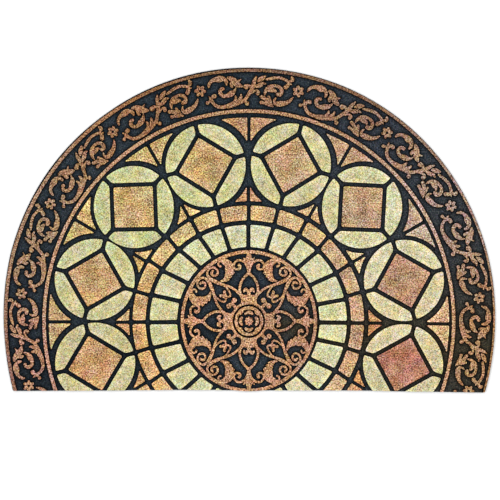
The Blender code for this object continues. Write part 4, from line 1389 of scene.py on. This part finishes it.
class DOORMAT_OT_stage(bpy.types.Operator):
    """Plain pale floor, soft light and the camera above the mat"""
    bl_idname = "doormat.stage"
    bl_label = "Stage"

    def execute(self, context):
        scene = context.scene
        settings = scene.mat_stage
        half = settings.floor_size / 2
        corners = np.array([(-half, -half, 0), (half, -half, 0), (half, half, 0), (-half, half, 0)])
        floor = bpy.data.objects.new("pale_floor", solid_mesh("pale_floor", corners, [(0, 1, 2, 3)]))
        floor.data.materials.append(plain_paint("floor_paint", settings.floor_colour))
        scene.collection.objects.link(floor)
        sky = bpy.data.worlds.new("studio")
        sky.use_nodes = True
        light = sky.node_tree.nodes["Background"]
        light.inputs["Color"].default_value = (1, 1, 1, 1)
        light.inputs["Strength"].default_value = settings.sky_strength
        scene.world = sky
        lamp = bpy.data.lights.new("soft_lamp", "AREA")
        lamp.energy = settings.lamp_power
        lamp.size = settings.lamp_size
        lamp_object = bpy.data.objects.new("soft_lamp", lamp)
        lamp_object.location = LAMP_PLACE
        lamp_object.rotation_euler = (-lamp_object.location).to_track_quat("-Z", "Y").to_euler()
        scene.collection.objects.link(lamp_object)
        camera = bpy.data.cameras.new("camera")
        camera.lens = settings.lens
        camera.sensor_width = SENSOR_WIDTH
        camera_object = bpy.data.objects.new("camera", camera)
        height = settings.view_width * settings.lens / camera.sensor_width
        camera_object.location = (*placed(np.array([PICTURE_CENTRE]), MAT_HEIGHT + height)[0],)
        scene.collection.objects.link(camera_object)
        scene.camera = camera_object
        scene.view_settings.view_transform = "Standard"
        return {"FINISHED"}


class DOORMAT_PT_panel(bpy.types.Panel):
    """Lists the mat's pieces, sizes and colours"""
    bl_idname = "DOORMAT_PT_panel"
    bl_label = "Doormat"
    bl_space_type = "VIEW_3D"
    bl_region_type = "UI"
    bl_category = "Doormat"

    def draw(self, context):
        scene = context.scene
        for group in (scene.mat_sizes, scene.mat_colours, scene.mat_stage):
            box = self.layout.box()
            for key in group.bl_rna.properties.keys():
                if key not in ("rna_type", "name"):
                    box.prop(group, key)
        for operator in OPERATORS:
            self.layout.operator(operator.bl_idname)


GROUPS = {"mat_sizes": MatSizes, "mat_colours": MatColours, "mat_stage": StageSettings}
OPERATORS = (
    DOORMAT_OT_flock_petals, DOORMAT_OT_flock_wedges, DOORMAT_OT_flock_squares, DOORMAT_OT_flock_triangles,
    DOORMAT_OT_flock_bands, DOORMAT_OT_flock_scrolls, DOORMAT_OT_flock_medallion, DOORMAT_OT_rubber_sheet,
    DOORMAT_OT_stage,
)


def register():
    """Make the property groups, operators and panel known."""
    for item in (*GROUPS.values(), *OPERATORS, DOORMAT_PT_panel):
        bpy.utils.register_class(item)
    for name, group in GROUPS.items():
        setattr(bpy.types.Scene, name, PointerProperty(type=group))


def unregister():
    """Take them away again."""
    for name in GROUPS:
        delattr(bpy.types.Scene, name)
    for item in (DOORMAT_PT_panel, *reversed(OPERATORS), *GROUPS.values()):
        bpy.utils.unregister_class(item)


def main():
    """Build everything in order."""
    register()
    for operator in OPERATORS:
        family, name = operator.bl_idname.split(".")
        getattr(getattr(bpy.ops, family), name)()


if __name__ == "__main__":
    main()
